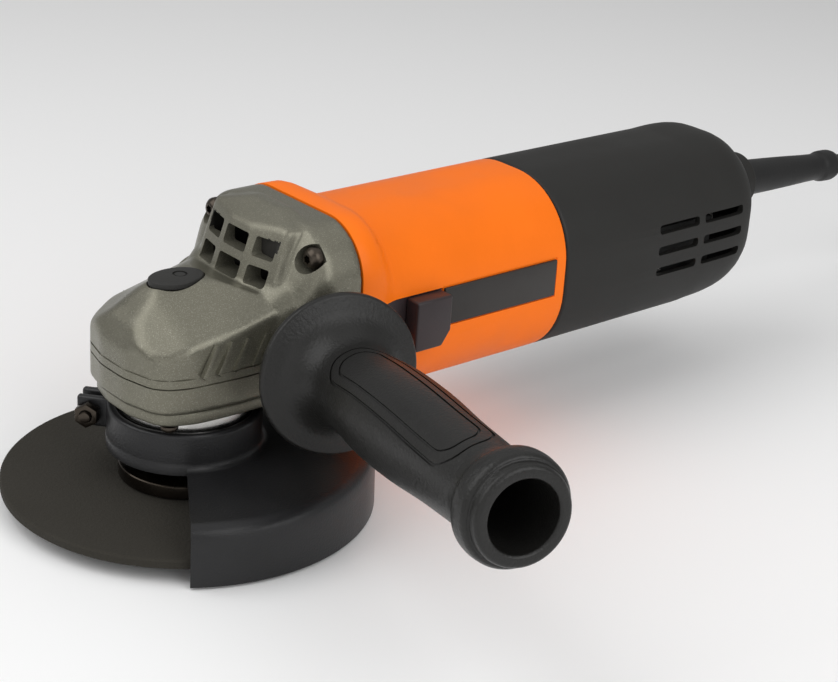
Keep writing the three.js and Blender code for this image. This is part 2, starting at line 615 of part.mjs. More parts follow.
function makeGuard() {
  const outside = guardInside + GUARD_WALL;
  const skin = turnedZ([
    [guardInside, 0], [outside, 0], [outside - 0.6, GUARD_HEIGHT - 3.2], [outside - 3.4, GUARD_HEIGHT],
    [collarOutside, GUARD_HEIGHT], [collarOutside, GUARD_COLLAR_TOP], [collarInside, GUARD_COLLAR_TOP],
    [collarInside, GUARD_HEIGHT - GUARD_WALL], [outside - 4, GUARD_HEIGHT - GUARD_WALL],
    [guardInside - 0.6, GUARD_HEIGHT - 4.2], [guardInside, 0]], 60);
  const openStart = THREE.MathUtils.degToRad(GUARD_START_ANGLE + GUARD_COVER_ANGLE);
  const openEnd = THREE.MathUtils.degToRad(GUARD_START_ANGLE + 360);
  const mouth = new THREE.Shape();
  mouth.absarc(0, 0, outside + 10, openStart, openEnd, false);
  mouth.absarc(0, 0, collarOutside + 0.2, openEnd, openStart, true);
  const opening = new THREE.ExtrudeGeometry(mouth, {
    depth: GUARD_HEIGHT + 2, bevelEnabled: false, curveSegments: 24 }).translate(0, 0, -1);
  const turn = THREE.MathUtils.degToRad(CLAMP_ANGLE);
  const lugs = [-1, 1].map((side) => {
    const near = lugGap / 2;
    const far = lugGap / 2 + lugThickness;
    const [y0, y1] = side > 0 ? [near, far] : [-far, -near];
    const lug = block(collarInside + 1.5, collarOutside + lugReach, y0, y1, GUARD_HEIGHT + 1.6,
      GUARD_COLLAR_TOP - 0.6);
    return lug.rotateZ(turn);
  });
  const split = block(collarInside - 5, collarOutside + 2, -lugGap / 2, lugGap / 2, 0,
    GUARD_COLLAR_TOP + 5).rotateZ(turn);
  const screwHole = turnedY(rod(screwShank + FIT_GAP, -12, 12), 12)
    .translate(clampScrewRadius, 0, CLAMP_SCREW_HEIGHT).rotateZ(turn);
  return cut(join(cut(skin, opening), ...lugs), split, screwHole);
}

const clampScrewRadius = collarOutside + 5.4;
grinder.add(piece('wheel_guard', makeGuard(), 'guard_steel'));
const lugFace = lugGap / 2 + lugThickness + FIT_GAP;
const clampScrew = piece('guard_clamp_screw', turnedY([
  [0, -lugFace - 3.4], [3.9, -lugFace - 3.4], [3.9, -lugFace], [screwShank, -lugFace],
  [screwShank, lugFace + 5], [0, lugFace + 5]], 12), 'dark_steel');
const clampNut = piece('guard_clamp_nut',
  turnedY(ring(screwShank + FIT_GAP, 4.1, lugFace, lugFace + 3.6), 6), 'dark_steel');
[clampScrew, clampNut].forEach((mesh) => {
  mesh.position.set(clampScrewRadius, 0, CLAMP_SCREW_HEIGHT);
  clampGroup.add(mesh);
});

// ---- motor housing -----------------------------------------------------------------------------------
const coverInside = (BARREL_HALF_WIDTH + BARREL_HALF_HEIGHT) / 2 - COVER_WALL;
const brushY = COVER_JOINT_Y + BRUSH_SETBACK;
const carrierOutside = Math.min(BARREL_HALF_WIDTH, BARREL_HALF_HEIGHT) - COVER_WALL - 2 * FIT_GAP;
const carrierInside = carrierOutside - 2.9;
const carrierEnd = COVER_JOINT_Y + CARRIER_LENGTH;
const rearSeatStart = carrierEnd - 7.6;
const sideFloor = BARREL_HALF_WIDTH - 1.2;
const labelStart = SLIDER_START_Y + SLIDER_LENGTH + 0.8;
const labelBottom = SLIDER_TOP - PLATE_HEIGHT + 0.3;
const rodInside = MOTOR_BORE_RADIUS - 0.3;
const rodOutside = rodInside + 1.4;
const rodHalf = 1.5;

function makeMotorHousing() {
  const start = PARTING_Y + FIT_GAP;
  const shell = loft([flangeRing(start, 0), flangeRing(start + 8.5, 0), barrelRing(start + 15, 0),
    barrelRing(COVER_JOINT_Y, 0)]);
  const carrier = onMotorAxis(turnedY(rod(carrierOutside, COVER_JOINT_Y - 1, carrierEnd), 40));
  const spaces = [
    onMotorAxis(turnedY(rod(fanChamberRadius, 30, start + 11.5), 40)),
    onMotorAxis(turnedY(rod(MOTOR_BORE_RADIUS, 30, COVER_JOINT_Y - 4), 40)),
    onMotorAxis(turnedY(rod(carrierInside, COVER_JOINT_Y - 5, rearSeatStart - 2), 40)),
    onMotorAxis(turnedY(rod(REAR_BEARING_RADIUS + FIT_GAP, rearSeatStart, carrierEnd + 1), 32)),
    onMotorAxis(turnedY(rod(6.5, rearSeatStart - 4, carrierEnd), 20)),
  ];
  const airHoles = [45, 135, 225, 315].map((degrees) => {
    const angle = THREE.MathUtils.degToRad(degrees);
    const hole = turnedY(rod(5, rearSeatStart - 4, carrierEnd + 1), 16);
    return onMotorAxis(moved(hole, 18 * Math.cos(angle), 0, 18 * Math.sin(angle)));
  });
  const brushSlots = [-1, 1].map((side) => {
    const [x0, x1] = side > 0 ? [20, 32] : [-32, -20];
    return block(x0, x1, brushY - 4.8, brushY + 4.8, MOTOR_AXIS_HEIGHT - 4.3, MOTOR_AXIS_HEIGHT + 4.3);
  });
  const caseHoles = caseScrewPlaces.map(([x, z]) =>
    moved(turnedY(rod(screwShank + FIT_GAP, 38, start + 9.5), 12), x, 0, z));
  const sliderRecess = block(sideFloor, 40, SLIDER_START_Y - SWITCH_TRAVEL - 2.5,
    SLIDER_START_Y + SLIDER_LENGTH + 0.5, SLIDER_BOTTOM - 0.5, SLIDER_TOP + 0.5);
  const labelRecess = block(sideFloor, 40, labelStart - 0.5, labelStart + PLATE_LENGTH + 0.5,
    labelBottom - 0.5, labelBottom + PLATE_HEIGHT + 0.5);
  const rodChannel = block(20, rodOutside + FIT_GAP, SLIDER_START_Y - SWITCH_TRAVEL - 5, carrierEnd + 1,
    ROD_HEIGHT - rodHalf - 0.4, ROD_HEIGHT + rodHalf + 0.4);
  const tongueSlot = block(24, 40, SLIDER_START_Y - SWITCH_TRAVEL - 0.5, SLIDER_START_Y + SLIDER_LENGTH - 1.5,
    ROD_HEIGHT - rodHalf, ROD_HEIGHT + rodHalf);
  return cut(join(shell, carrier), ...spaces, ...airHoles, ...brushSlots, ...caseHoles, sliderRecess,
    labelRecess, rodChannel, tongueSlot);
}

grinder.add(piece('motor_housing', makeMotorHousing(), 'orange_plastic'));
motorLine.add(piece('fan_baffle',
  turnedY(ring(SHAFT_RADIUS + 8, fanChamberRadius - FIT_GAP, 51.4, 53.3), 32), 'black_plastic'));

// ---- armature: shaft, core, windings, commutator, fan and bearings ---------------------------------------
const coreEnd = CORE_START_Y + CORE_LENGTH;
const frontBearingStart = bearingSeatStart + 0.3;
const rearBearingStart = rearSeatStart + FIT_GAP;
const fanStart = fanChamberStart + 1.5;

motorLine.add(piece('armature_shaft', turnedY([
  [0, 10.5], [pinionShaftRadius, 10.5], [pinionShaftRadius, 20], [SHAFT_RADIUS, 20.5],
  [SHAFT_RADIUS, rearBearingStart - 3], [3.7, rearBearingStart - 3], [3.7, carrierEnd + 2],
  [0, carrierEnd + 2]], 24), 'bright_steel'));
motorLine.add(piece('armature_bearing_front_outer',
  turnedY(ring(12.4, FRONT_BEARING_RADIUS, frontBearingStart, frontBearingStart + 9)), 'bright_steel'));
motorLine.add(piece('armature_bearing_front_inner',
  turnedY(ring(SHAFT_RADIUS + FIT_GAP, 7.8, frontBearingStart, frontBearingStart + 9), 24), 'bright_steel'));
motorLine.add(piece('armature_bearing_rear_outer',
  turnedY(ring(9.2, REAR_BEARING_RADIUS, rearBearingStart, rearBearingStart + 7)), 'bright_steel'));
motorLine.add(piece('armature_bearing_rear_inner',
  turnedY(ring(4, 6.2, rearBearingStart, rearBearingStart + 7), 20), 'bright_steel'));
motorLine.add(piece('armature_core', turnedY(
  ring(SHAFT_RADIUS + FIT_GAP, ARMATURE_RADIUS, CORE_START_Y, coreEnd), 24), 'lamination'));

function windingHead(near, far) {
  return turnedY([[SHAFT_RADIUS + FIT_GAP, near], [ARMATURE_RADIUS - 1, near],
    [ARMATURE_RADIUS - 1.6, near + (far - near) * 0.6], [11, far], [SHAFT_RADIUS + FIT_GAP, far],
    [SHAFT_RADIUS + FIT_GAP, near]], 24);
}

motorLine.add(piece('armature_winding_front', windingHead(CORE_START_Y - FIT_GAP, CORE_START_Y - 10), 'copper'));
motorLine.add(piece('armature_winding_rear', windingHead(coreEnd + FIT_GAP, coreEnd + 11), 'copper'));
motorLine.add(piece('commutator', turnedY(
  ring(SHAFT_RADIUS + FIT_GAP, COMMUTATOR_RADIUS, brushY - 8, brushY + 8), 24), 'copper'));

function makeFan() {
  const hub = turnedY(ring(SHAFT_RADIUS + FIT_GAP, 9, fanStart, fanStart + 12), 24);
  const plate = turnedY(ring(SHAFT_RADIUS + FIT_GAP, FAN_RADIUS, fanStart + 10.6, fanStart + 12), 44);
  const blades = Array.from({ length: FAN_BLADES }, (_, i) =>
    block(8, FAN_RADIUS - 0.6, fanStart, fanStart + 11, -0.7, 0.7)
      .rotateY((i / FAN_BLADES) * 2 * Math.PI));
  return join(hub, plate, ...blades);
}

motorLine.add(piece('cooling_fan', makeFan(), 'black_plastic'));

// ---- stator: laminated ring with two poles, and a coil round each pole --------------------------------------
function makeStator() {
  const outer = turnedY(rod(MOTOR_BORE_RADIUS - 0.4, CORE_START_Y, coreEnd), 40);
  const bore = turnedY(rod(STATOR_BORE_RADIUS, CORE_START_Y - 1, coreEnd + 1), 40);
  const window = turnedY(rod(MOTOR_BORE_RADIUS - 3.4, CORE_START_Y - 1, coreEnd + 1), 40);
  const poles = block(-9, 9, CORE_START_Y - 2, coreEnd + 2, -30, 30);
  return cut(outer, cut(window, poles), bore);
}

function makeFieldCoil(side) {
  const outer = block(-17, 17, CORE_START_Y - 9, coreEnd + 9, side > 0 ? 4 : -25, side > 0 ? 25 : -4);
  const pole = block(-9.4, 9.4, CORE_START_Y - 1.5, coreEnd + 1.5, side > 0 ? 0 : -30, side > 0 ? 30 : 0);
  const sleeve = turnedY(ring(STATOR_BORE_RADIUS + 0.6, MOTOR_BORE_RADIUS - 3.8, CORE_START_Y - 20, coreEnd + 20), 40);
  return cut(common(outer, sleeve), pole);
}

motorLine.add(piece('stator_core', makeStator(), 'lamination'));
motorLine.add(piece('field_coil_upper', makeFieldCoil(1), 'copper'));
motorLine.add(piece('field_coil_lower', makeFieldCoil(-1), 'copper'));

// ---- brush gear: a brass box with a carbon brush on each side of the commutator -------------------------------
[['left', -1], ['right', 1]].forEach(([name, side]) => {
  const inner = COMMUTATOR_RADIUS + 2;
  const outer = coverInside - 1.1;
  const [x0, x1] = side > 0 ? [inner, outer] : [-outer, -inner];
  const box = block(x0, x1, brushY - 4.4, brushY + 4.4, -3.9, 3.9);
  const hollow = block(x0 - 5, x1 + 5, brushY - 3.4, brushY + 3.4, -2.9, 2.9);
  motorLine.add(piece(`brush_holder_${name}`, cut(box, hollow), 'brass'));
  const brushInner = COMMUTATOR_RADIUS + FIT_GAP;
  const [b0, b1] = side > 0 ? [brushInner, brushInner + 12] : [-brushInner - 12, -brushInner];
  motorLine.add(piece(`carbon_brush_${name}`, block(b0, b1, brushY - 3.1, brushY + 3.1, -2.6, 2.6), 'carbon'));
});

// ---- rear cover with side vents -----------------------------------------------------------------------------------
const coverStart = COVER_JOINT_Y + FIT_GAP;
const coverEnd = coverStart + COVER_LENGTH;
const snoutEnd = coverEnd + SNOUT_LENGTH;

// The tail stays full for most of its length and rounds off to a flat end wall.
function coverRings(inset, start, end) {
  const roundStart = coverEnd - TAIL_ROUNDING;
  const tail = [0.4, 0.62, 0.78, 0.9, 1].map((share) => {
    const y = roundStart + (end - roundStart) * share;
    const shrink = Math.sqrt(1 - (share * 0.9) ** 4.5);
    return ovalRing(y, (BARREL_HALF_WIDTH - 0.2 - inset) * shrink, (BARREL_HALF_HEIGHT - 0.3 - inset) * shrink,
      MOTOR_AXIS_HEIGHT + 1.5 * share, BARREL_SQUARENESS);
  });
  return [barrelRing(start, inset), barrelRing(roundStart, inset + 0.2), ...tail];
}

function makeRearCover() {
  const ventColumns = [[46, 66.5], [69.5, 90.5]].map((ends) => ends.map((y) => COVER_JOINT_Y + y));
  const ventHeights = [-7.9, 0, 7.9].map((step) => MOTOR_AXIS_HEIGHT + 1.2 + step);
  const slots = ventHeights.flatMap((z) => ventColumns.flatMap(([y0, y1]) => [
    block(22, 40, y0, y1, z - 1.6, z + 1.6), block(-40, -22, y0, y1, z - 1.6, z + 1.6)]));
  const snoutRadius = SNOUT_BORE_RADIUS + COVER_WALL;
  const snout = moved(turnedY([[0, coverEnd - 1], [snoutRadius, coverEnd - 1], [snoutRadius - 0.6, snoutEnd],
    [0, snoutEnd]], 24), 0, 0, CORD_EXIT_HEIGHT);
  const cordHole = moved(turnedY(rod(SNOUT_BORE_RADIUS, coverEnd - 22, snoutEnd + 5), 20),
    0, 0, CORD_EXIT_HEIGHT);
  const screwHole = moved(turnedZ(rod(2.2, 0, 40), 12), 0, carrierEnd + 12, 0);
  const shell = cut(loft(coverRings(0, coverStart, coverEnd)),
    loft(coverRings(COVER_WALL, coverStart - 1, coverEnd - COVER_WALL)), ...slots);
  return cut(join(shell, snout), cordHole, screwHole);
}

grinder.add(piece('rear_cover', makeRearCover(), 'black_plastic'));
const coverScrew = piece('rear_cover_screw', turnedZ([
  [0, 0], [3.6, 0], [3.6, 2.2], [screwShank, 2.2], [screwShank, 9], [0, 9]], 16), 'dark_steel');
coverScrew.position.set(0, carrierEnd + 12, MOTOR_AXIS_HEIGHT - BARREL_HALF_HEIGHT - 2.4);
grinder.add(coverScrew);

// ---- switch: outside slider, link rod and the switch block in the tail ----------------------------------------------
const switchBlockStart = carrierEnd + 18;

function makeSlider() {
  const side = [[SLIDER_START_Y, SLIDER_BOTTOM], [SLIDER_START_Y + SLIDER_LENGTH - 3.5, SLIDER_BOTTOM],
    [SLIDER_START_Y + SLIDER_LENGTH, SLIDER_BOTTOM + 5], [SLIDER_START_Y + SLIDER_LENGTH, SLIDER_TOP],
    [SLIDER_START_Y, SLIDER_TOP]];
  const face = alongX(side, sideFloor + FIT_GAP, sideFloor + FIT_GAP + SLIDER_THICKNESS);
  const tongue = block(rodOutside + FIT_GAP, sideFloor + 1, SLIDER_START_Y + 1.5,
    SLIDER_START_Y + SLIDER_LENGTH - 3, ROD_HEIGHT - rodHalf + 0.4, ROD_HEIGHT + rodHalf - 0.4);
  return join(face, tongue);
}

grinder.add(piece('switch_slider', makeSlider(), 'black_plastic'));
grinder.add(piece('switch_rod', block(rodInside, rodOutside, SLIDER_START_Y - 1, switchBlockStart - 1.5,
  ROD_HEIGHT - rodHalf, ROD_HEIGHT + rodHalf), 'bright_steel'));
grinder.add(piece('switch_body', block(6, 24, switchBlockStart, switchBlockStart + 28, 44, 62), 'black_plastic'));
grinder.add(piece('name_plate', block(sideFloor + FIT_GAP, sideFloor + 1.7, labelStart,
  labelStart + PLATE_LENGTH, labelBottom, labelBottom + PLATE_HEIGHT), 'black_plastic'));

// ---- cord guard, inside clamp, cord, coil and plug -------------------------------------------------------------------
const cordDroop = -THREE.MathUtils.degToRad(CORD_GUARD_DROOP);
const sleeveFoot = -3.5;
const cordGuardY = snoutEnd + sleeveFoot;
const innerFlangeStart = coverEnd - COVER_WALL - 1.2 - cordGuardY;
const cordGuard = piece('cord_guard', turnedY([
  [0, innerFlangeStart - 3.4], [SNOUT_BORE_RADIUS + 1.8, innerFlangeStart - 3.4],
  [SNOUT_BORE_RADIUS + 1.8, innerFlangeStart], [CORD_SLEEVE_RADIUS, innerFlangeStart],
  [CORD_SLEEVE_RADIUS, 6], [CORD_SLEEVE_RADIUS - 0.5, 22], [CORD_SLEEVE_RADIUS - 1.5, 44],
  [CORD_SLEEVE_RADIUS - 1.7, CORD_GUARD_LENGTH - 12], [CORD_SLEEVE_RADIUS - 0.8, CORD_GUARD_LENGTH - 8],
  [CORD_SLEEVE_RADIUS - 0.8, CORD_GUARD_LENGTH - 3], [CORD_SLEEVE_RADIUS - 2, CORD_GUARD_LENGTH],
  [0, CORD_GUARD_LENGTH]], 20), 'rubber');
cordGuard.position.set(0, cordGuardY, CORD_EXIT_HEIGHT);
cordGuard.rotation.x = cordDroop;
grinder.add(cordGuard);
const cordClampEnd = cordGuardY + innerFlangeStart - 3.4 - 1.5;
grinder.add(piece('cord_clamp', block(-11, 11, cordClampEnd - 7, cordClampEnd, CORD_EXIT_HEIGHT - 9,
  CORD_EXIT_HEIGHT + 3), 'white_plastic'));

function tube(points, radius, sides, steps) {
  const section = new THREE.Shape();
  Array.from({ length: sides }, (_, i) => {
    const angle = (i / sides) * 2 * Math.PI;
    const corner = [radius * Math.cos(angle), radius * Math.sin(angle)];
    return i === 0 ? section.moveTo(...corner) : section.lineTo(...corner);
  });
  const path = new THREE.CatmullRomCurve3(points.map((point) => new THREE.Vector3(...point)), false, 'centripetal');
  return new THREE.ExtrudeGeometry(section, { steps, bevelEnabled: false, extrudePath: path });
}

const guardTipY = cordGuardY + (CORD_GUARD_LENGTH + FIT_GAP) * Math.cos(cordDroop);
const guardTipZ = CORD_EXIT_HEIGHT + (CORD_GUARD_LENGTH + FIT_GAP) * Math.sin(cordDroop);
const coilCentreY = guardTipY + COIL_BEYOND_SLEEVE;
const coilEdgeX = COIL_SIDE_OFFSET - COIL_RADIUS - COIL_WIDTH / 2 + CORD_RADIUS + 0.1;
// Each point is [across, distance past the sleeve's tip, height].
const CORD_ROUTE = [
  [0, 0, guardTipZ], [0, 6, guardTipZ - 0.5], [-0.2, 15.5, 56], [-0.9, 26, 52.3],
  [-2.4, 36.5, 46.4], [-4.8, 46.5, 39], [-7.8, 57, 30.7], [-10.9, 67.5, 22.4], [-13.9, 77.5, 15],
  [-16.2, 88, 9], [-17.7, 98.5, 5.3], [coilEdgeX, 105.5, 4], [coilEdgeX, 111.5, CORD_RADIUS + 0.2],
].map(([x, past, z]) => [x, guardTipY + past, z]);
grinder.add(piece('power_cord', tube(CORD_ROUTE, CORD_RADIUS, 10, 26), 'rubber'));

const coil = piece('cord_coil', turnedZ(
  ring(COIL_RADIUS - COIL_WIDTH / 2, COIL_RADIUS + COIL_WIDTH / 2, 0, COIL_HEIGHT), 32), 'rubber');
coil.position.set(COIL_SIDE_OFFSET, coilCentreY, 0);
grinder.add(coil);

function makePlug() {
  const rings = [[0, 4.6, 4.6, 2], [12, 6, 5.6, 2], [17, 15, 10, 2.6], [30, 18.5, 12.5, 3], [37, 19, 12.6, 3]]
    .map(([y, halfWidth, halfHeight, squareness]) => ovalRing(y, halfWidth, halfHeight, 0, squareness, 20));
  const pins = [-9.5, 9.5].map((x) => moved(turnedY(rod(2.4, 36, 56), 12), x, 0, 0));
  return join(loft(rings), ...pins);
}

const plug = piece('plug', makePlug(), 'rubber');
plug.rotation.z = -Math.PI / 2;
plug.position.set(COIL_SIDE_OFFSET + COIL_RADIUS - 4.5, coilCentreY + COIL_RADIUS + 7.6, 12.7);
grinder.add(plug);

// ---- side handle on its stud -----------------------------------------------------------------------------------------------
const handle = new THREE.Group();
handle.position.set(...HANDLE_BASE);
handle.rotation.copy(handleFrame);
grinder.add(handle);

const hubFace = BOSS_REACH + FIT_GAP;
const studEnd = hubFace + 37;
const rimBack = hubFace + 9.4;

handle.add(piece('side_handle_grip', turnedOnHandle([
  [0, studEnd + 0.4], [STUD_RADIUS + FIT_GAP, studEnd + 0.4], [STUD_RADIUS + FIT_GAP, hubFace],
  [10.6, hubFace], [12.4, hubFace + 4], [HANDLE_RIM_RADIUS - 2.4, rimBack - 2.6],
  [HANDLE_RIM_RADIUS, rimBack], [HANDLE_RIM_RADIUS, rimBack + 1.8], [HANDLE_RIM_RADIUS - 4, rimBack + 4],
  [15.6, rimBack + 9], [13.3, rimBack + 16], [13.9, rimBack + 26], [GRIP_RADIUS, rimBack + 38],
  [GRIP_RADIUS, rimBack + 52], [13.9, rimBack + 72], [12.5, HANDLE_END - 18], [13, HANDLE_END - 14.5],
  [HANDLE_END_RADIUS - 0.6, HANDLE_END - 10.5], [HANDLE_END_RADIUS, HANDLE_END - 7.5],
  [HANDLE_END_RADIUS - 0.4, HANDLE_END - 4.6], [HANDLE_END_RADIUS - 2, HANDLE_END - 3.4],
  [HANDLE_END_RADIUS - 2.2, HANDLE_END - 0.8], [HANDLE_END_RADIUS - 3.2, HANDLE_END],
  [HANDLE_BORE_RADIUS, HANDLE_END], [HANDLE_BORE_RADIUS, HANDLE_END - 44], [0, HANDLE_END - 44]], 28),
'grip_plastic'));
handle.add(piece('side_handle_stud', turnedOnHandle(rod(STUD_RADIUS, 26.6, studEnd), 16), 'bright_steel'));

// ---- the frame: origin at the middle of the base of everything but the free cord ------------------------------------------
function centreOnBase(group, looseNames) {
  const box = new THREE.Box3();
  group.updateMatrixWorld(true);
  group.traverse((item) => {
    if (item.isMesh && !looseNames.includes(item.name)) box.expandByObject(item, true);
  });
  group.position.set(-(box.min.x + box.max.x) / 2, -(box.min.y + box.max.y) / 2, -box.min.z);
}

centreOnBase(grinder, ['power_cord', 'cord_coil', 'plug']);

export default grinder;
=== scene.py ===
# A corded angle grinder with a 115 mm disc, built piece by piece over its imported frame.
import bpy
from math import cos, degrees, pi, radians, sin
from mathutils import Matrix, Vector


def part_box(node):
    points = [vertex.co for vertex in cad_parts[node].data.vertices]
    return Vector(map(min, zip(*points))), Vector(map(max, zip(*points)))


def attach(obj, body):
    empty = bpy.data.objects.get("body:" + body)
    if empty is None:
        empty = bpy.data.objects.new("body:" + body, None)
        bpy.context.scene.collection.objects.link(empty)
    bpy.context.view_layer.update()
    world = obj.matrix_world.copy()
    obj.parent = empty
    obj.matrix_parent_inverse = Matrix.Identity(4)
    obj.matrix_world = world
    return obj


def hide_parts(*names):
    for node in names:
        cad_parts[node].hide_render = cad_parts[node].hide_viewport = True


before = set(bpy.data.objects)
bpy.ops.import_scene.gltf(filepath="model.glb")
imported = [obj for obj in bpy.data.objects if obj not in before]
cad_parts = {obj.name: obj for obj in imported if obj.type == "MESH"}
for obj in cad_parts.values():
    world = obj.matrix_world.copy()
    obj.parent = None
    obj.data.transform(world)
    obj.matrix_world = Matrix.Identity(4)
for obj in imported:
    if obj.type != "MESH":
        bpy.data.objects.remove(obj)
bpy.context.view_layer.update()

# ---- Camera, floor and light ---------------------------------------------------------------
# The tool is seen from in front, a little above, on its handle side. It rests on a plain pale
# floor in the light of broad soft lamps.
spindle_low, spindle_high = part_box("spindle")
SPINDLE_X = (spindle_low.x + spindle_high.x) / 2
SPINDLE_Y = (spindle_low.y + spindle_high.y) / 2


def at(x, y, z):
    """A place given in millimetres from the foot of the spindle axis."""
    return Vector((SPINDLE_X + x / 1000, SPINDLE_Y + y / 1000, z / 1000))


def deselect():
    if bpy.context.mode != "OBJECT":
        bpy.ops.object.mode_set(mode="OBJECT")
    bpy.ops.object.select_all(action="DESELECT")


deselect()
bpy.ops.object.camera_add(location=at(461.95, -313.79, 295.9),
                          rotation=(radians(66.66), radians(-3.51), radians(49.93)))
camera = bpy.context.object
camera.data.lens = 84.07
camera.data.sensor_width = 36
camera.data.clip_end = 20
bpy.context.scene.camera = camera

bpy.ops.mesh.primitive_plane_add(size=8, location=at(0, 60, 0) - Vector((0, 0, 0.0006)))
floor = bpy.context.object
floor.name = "floor"
pale = bpy.data.materials.new("pale_floor")
pale.use_nodes = True
pale.node_tree.nodes["Principled BSDF"].inputs["Base Color"].default_value = (0.9, 0.9, 0.9, 1)
pale.node_tree.nodes["Principled BSDF"].inputs["Roughness"].default_value = 0.9
floor.data.materials.append(pale)

LAMPS = [("key", (-260, -560, 720), 0.9, 4.6), ("side", (760, 120, 520), 0.8, 4),
         ("top", (-60, 160, 900), 1.2, 2), ("front", (560, -700, 260), 0.6, 0.9)]
for lamp, place, size, power in LAMPS:
    bpy.ops.object.light_add(type="AREA", location=at(*place))
    light = bpy.context.object
    light.name = lamp + "_lamp"
    light.data.size = size
    light.data.energy = power
    light.rotation_euler = (at(20, 60, 40) - light.location).to_track_quat("-Z", "Y").to_euler()

world = bpy.data.worlds.new("studio")
bpy.context.scene.world = world
world.use_nodes = True
world.node_tree.nodes["Background"].inputs["Color"].default_value = (1, 1, 1, 1)
world.node_tree.nodes["Background"].inputs["Strength"].default_value = 0.36
bpy.context.scene.view_settings.view_transform = "Standard"


# ---- Mains cord, its coil and the tie ------------------------------------------------------
# A round two-core lead in black PVC, 7.4 mm thick and 1.8 m long. It droops from the tail to
# the floor and the spare length is wound in a flat coil of two layers, held by a plastic tie.
def surface(name, colour, roughness, metallic=0.0, shade=0.6, grain=400, bump=0.1, uneven=0.12,
            speckle=0.0, specular=0.35):
    """A finish with fine grain, slow blotches of tone and a roughness that wanders."""
    material = bpy.data.materials.new(name)
    material.use_nodes = True
    nodes, links = material.node_tree.nodes, material.node_tree.links
    skin = nodes["Principled BSDF"]
    skin.inputs["Metallic"].default_value = metallic
    skin.inputs["Specular IOR Level"].default_value = specular
    place = nodes.new("ShaderNodeTexCoord")
    fine = nodes.new("ShaderNodeTexNoise")
    fine.inputs["Scale"].default_value = grain
    fine.inputs["Detail"].default_value = 4
    slow = nodes.new("ShaderNodeTexNoise")
    slow.inputs["Scale"].default_value = 35
    slow.inputs["Detail"].default_value = 6
    tone = nodes.new("ShaderNodeMix")
    tone.data_type = "RGBA"
    tone.inputs["A"].default_value = (*[c * shade for c in colour], 1)
    tone.inputs["B"].default_value = (*colour, 1)
    spread = nodes.new("ShaderNodeMapRange")
    spread.inputs["From Min"].default_value = 0.3
    spread.inputs["From Max"].default_value = 0.62
    gloss = nodes.new("ShaderNodeMapRange")
    gloss.inputs["From Min"].default_value = 0.3
    gloss.inputs["From Max"].default_value = 0.7
    gloss.inputs["To Min"].default_value = max(roughness - uneven, 0.05)
    gloss.inputs["To Max"].default_value = min(roughness + uneven, 1)
    relief = nodes.new("ShaderNodeBump")
    relief.inputs["Strength"].default_value = bump
    relief.inputs["Distance"].default_value = 0.0004
    for texture in (fine, slow):
        links.new(place.outputs["Object"], texture.inputs["Vector"])
    mixed = nodes.new("ShaderNodeMath")
    mixed.operation = "MULTIPLY_ADD"
    mixed.inputs[1].default_value = speckle
    links.new(fine.outputs["Fac"], mixed.inputs[0])
    links.new(slow.outputs["Fac"], mixed.inputs[2])
    links.new(mixed.outputs[0], spread.inputs["Value"])
    links.new(spread.outputs["Result"], tone.inputs["Factor"])
    links.new(tone.outputs["Result"], skin.inputs["Base Color"])
    links.new(slow.outputs["Fac"], gloss.inputs["Value"])
    links.new(gloss.outputs["Result"], skin.inputs["Roughness"])
    links.new(fine.outputs["Fac"], relief.inputs["Height"])
    links.new(relief.outputs["Normal"], skin.inputs["Normal"])
    return material


black_cord = surface("black_cord", (0.012, 0.012, 0.013), 0.45, grain=900, bump=0.06)

guard_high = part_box("cord_guard")[1]
CORD_EXIT = Vector((SPINDLE_X, guard_high.y + 0.0003, 0.05823))
ROUTE = [(0, 326, 56.5), (-0.5, 333.5, 54.3), (-0.9, 338.5, 52.3), (-1.6, 344, 49.5),
         (-2.4, 349, 46.4), (-3.6, 354, 42.8), (-4.8, 359, 39), (-7.8, 369.5, 30.7),
         (-10.9, 380, 22.4), (-13.9, 390, 15), (-16.2, 400.5, 9), (-17.7, 411, 5.3),
         (-18.4, 424, 3.9)]
route = [CORD_EXIT, CORD_EXIT + Vector((0, 0.006, -0.0005))] + [at(*point) for point in ROUTE]
TURNS = [(53.4, 3.9), (45.8, 3.9), (38.2, 3.9), (30.6, 3.9), (34.4, 11), (42, 11), (49.6, 11)]
STEPS = 20
for step in range(int(6.25 * STEPS) + 1):
    turn, share = divmod(step / STEPS, 1)
    radius, height = TURNS[int(turn)]
    next_radius, next_height = TURNS[min(int(turn) + 1, len(TURNS) - 1)]
    ease = max(0, (share - 0.75) / 0.25)
    ease = ease * ease * (3 - 2 * ease)
    radius += (next_radius - radius) * ease
    height += (next_height - height) * ease
    angle = pi - 2 * pi * step / STEPS
    route.append(at(35 + radius * cos(angle), 455 + radius * sin(angle), height))
route += [at(50, 504.6, 11.3), at(62, 504.6, 12), at(74, 504.6, 12.7)]

lead = bpy.data.curves.new("mains_lead", "CURVE")
lead.dimensions = "3D"
lead.bevel_depth = 0.0037
lead.bevel_resolution = 4
lead.resolution_u = 6
lead.use_fill_caps = True
line = lead.splines.new("BEZIER")
line.bezier_points.add(len(route) - 1)
for knot, point in zip(line.bezier_points, route):
    knot.co = point
    knot.handle_left_type = knot.handle_right_type = "AUTO"
mains_lead = bpy.data.objects.new("mains_lead", lead)
bpy.context.scene.collection.objects.link(mains_lead)
lead.materials.append(black_cord)
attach(mains_lead, "housing")
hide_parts("power_cord", "cord_coil")


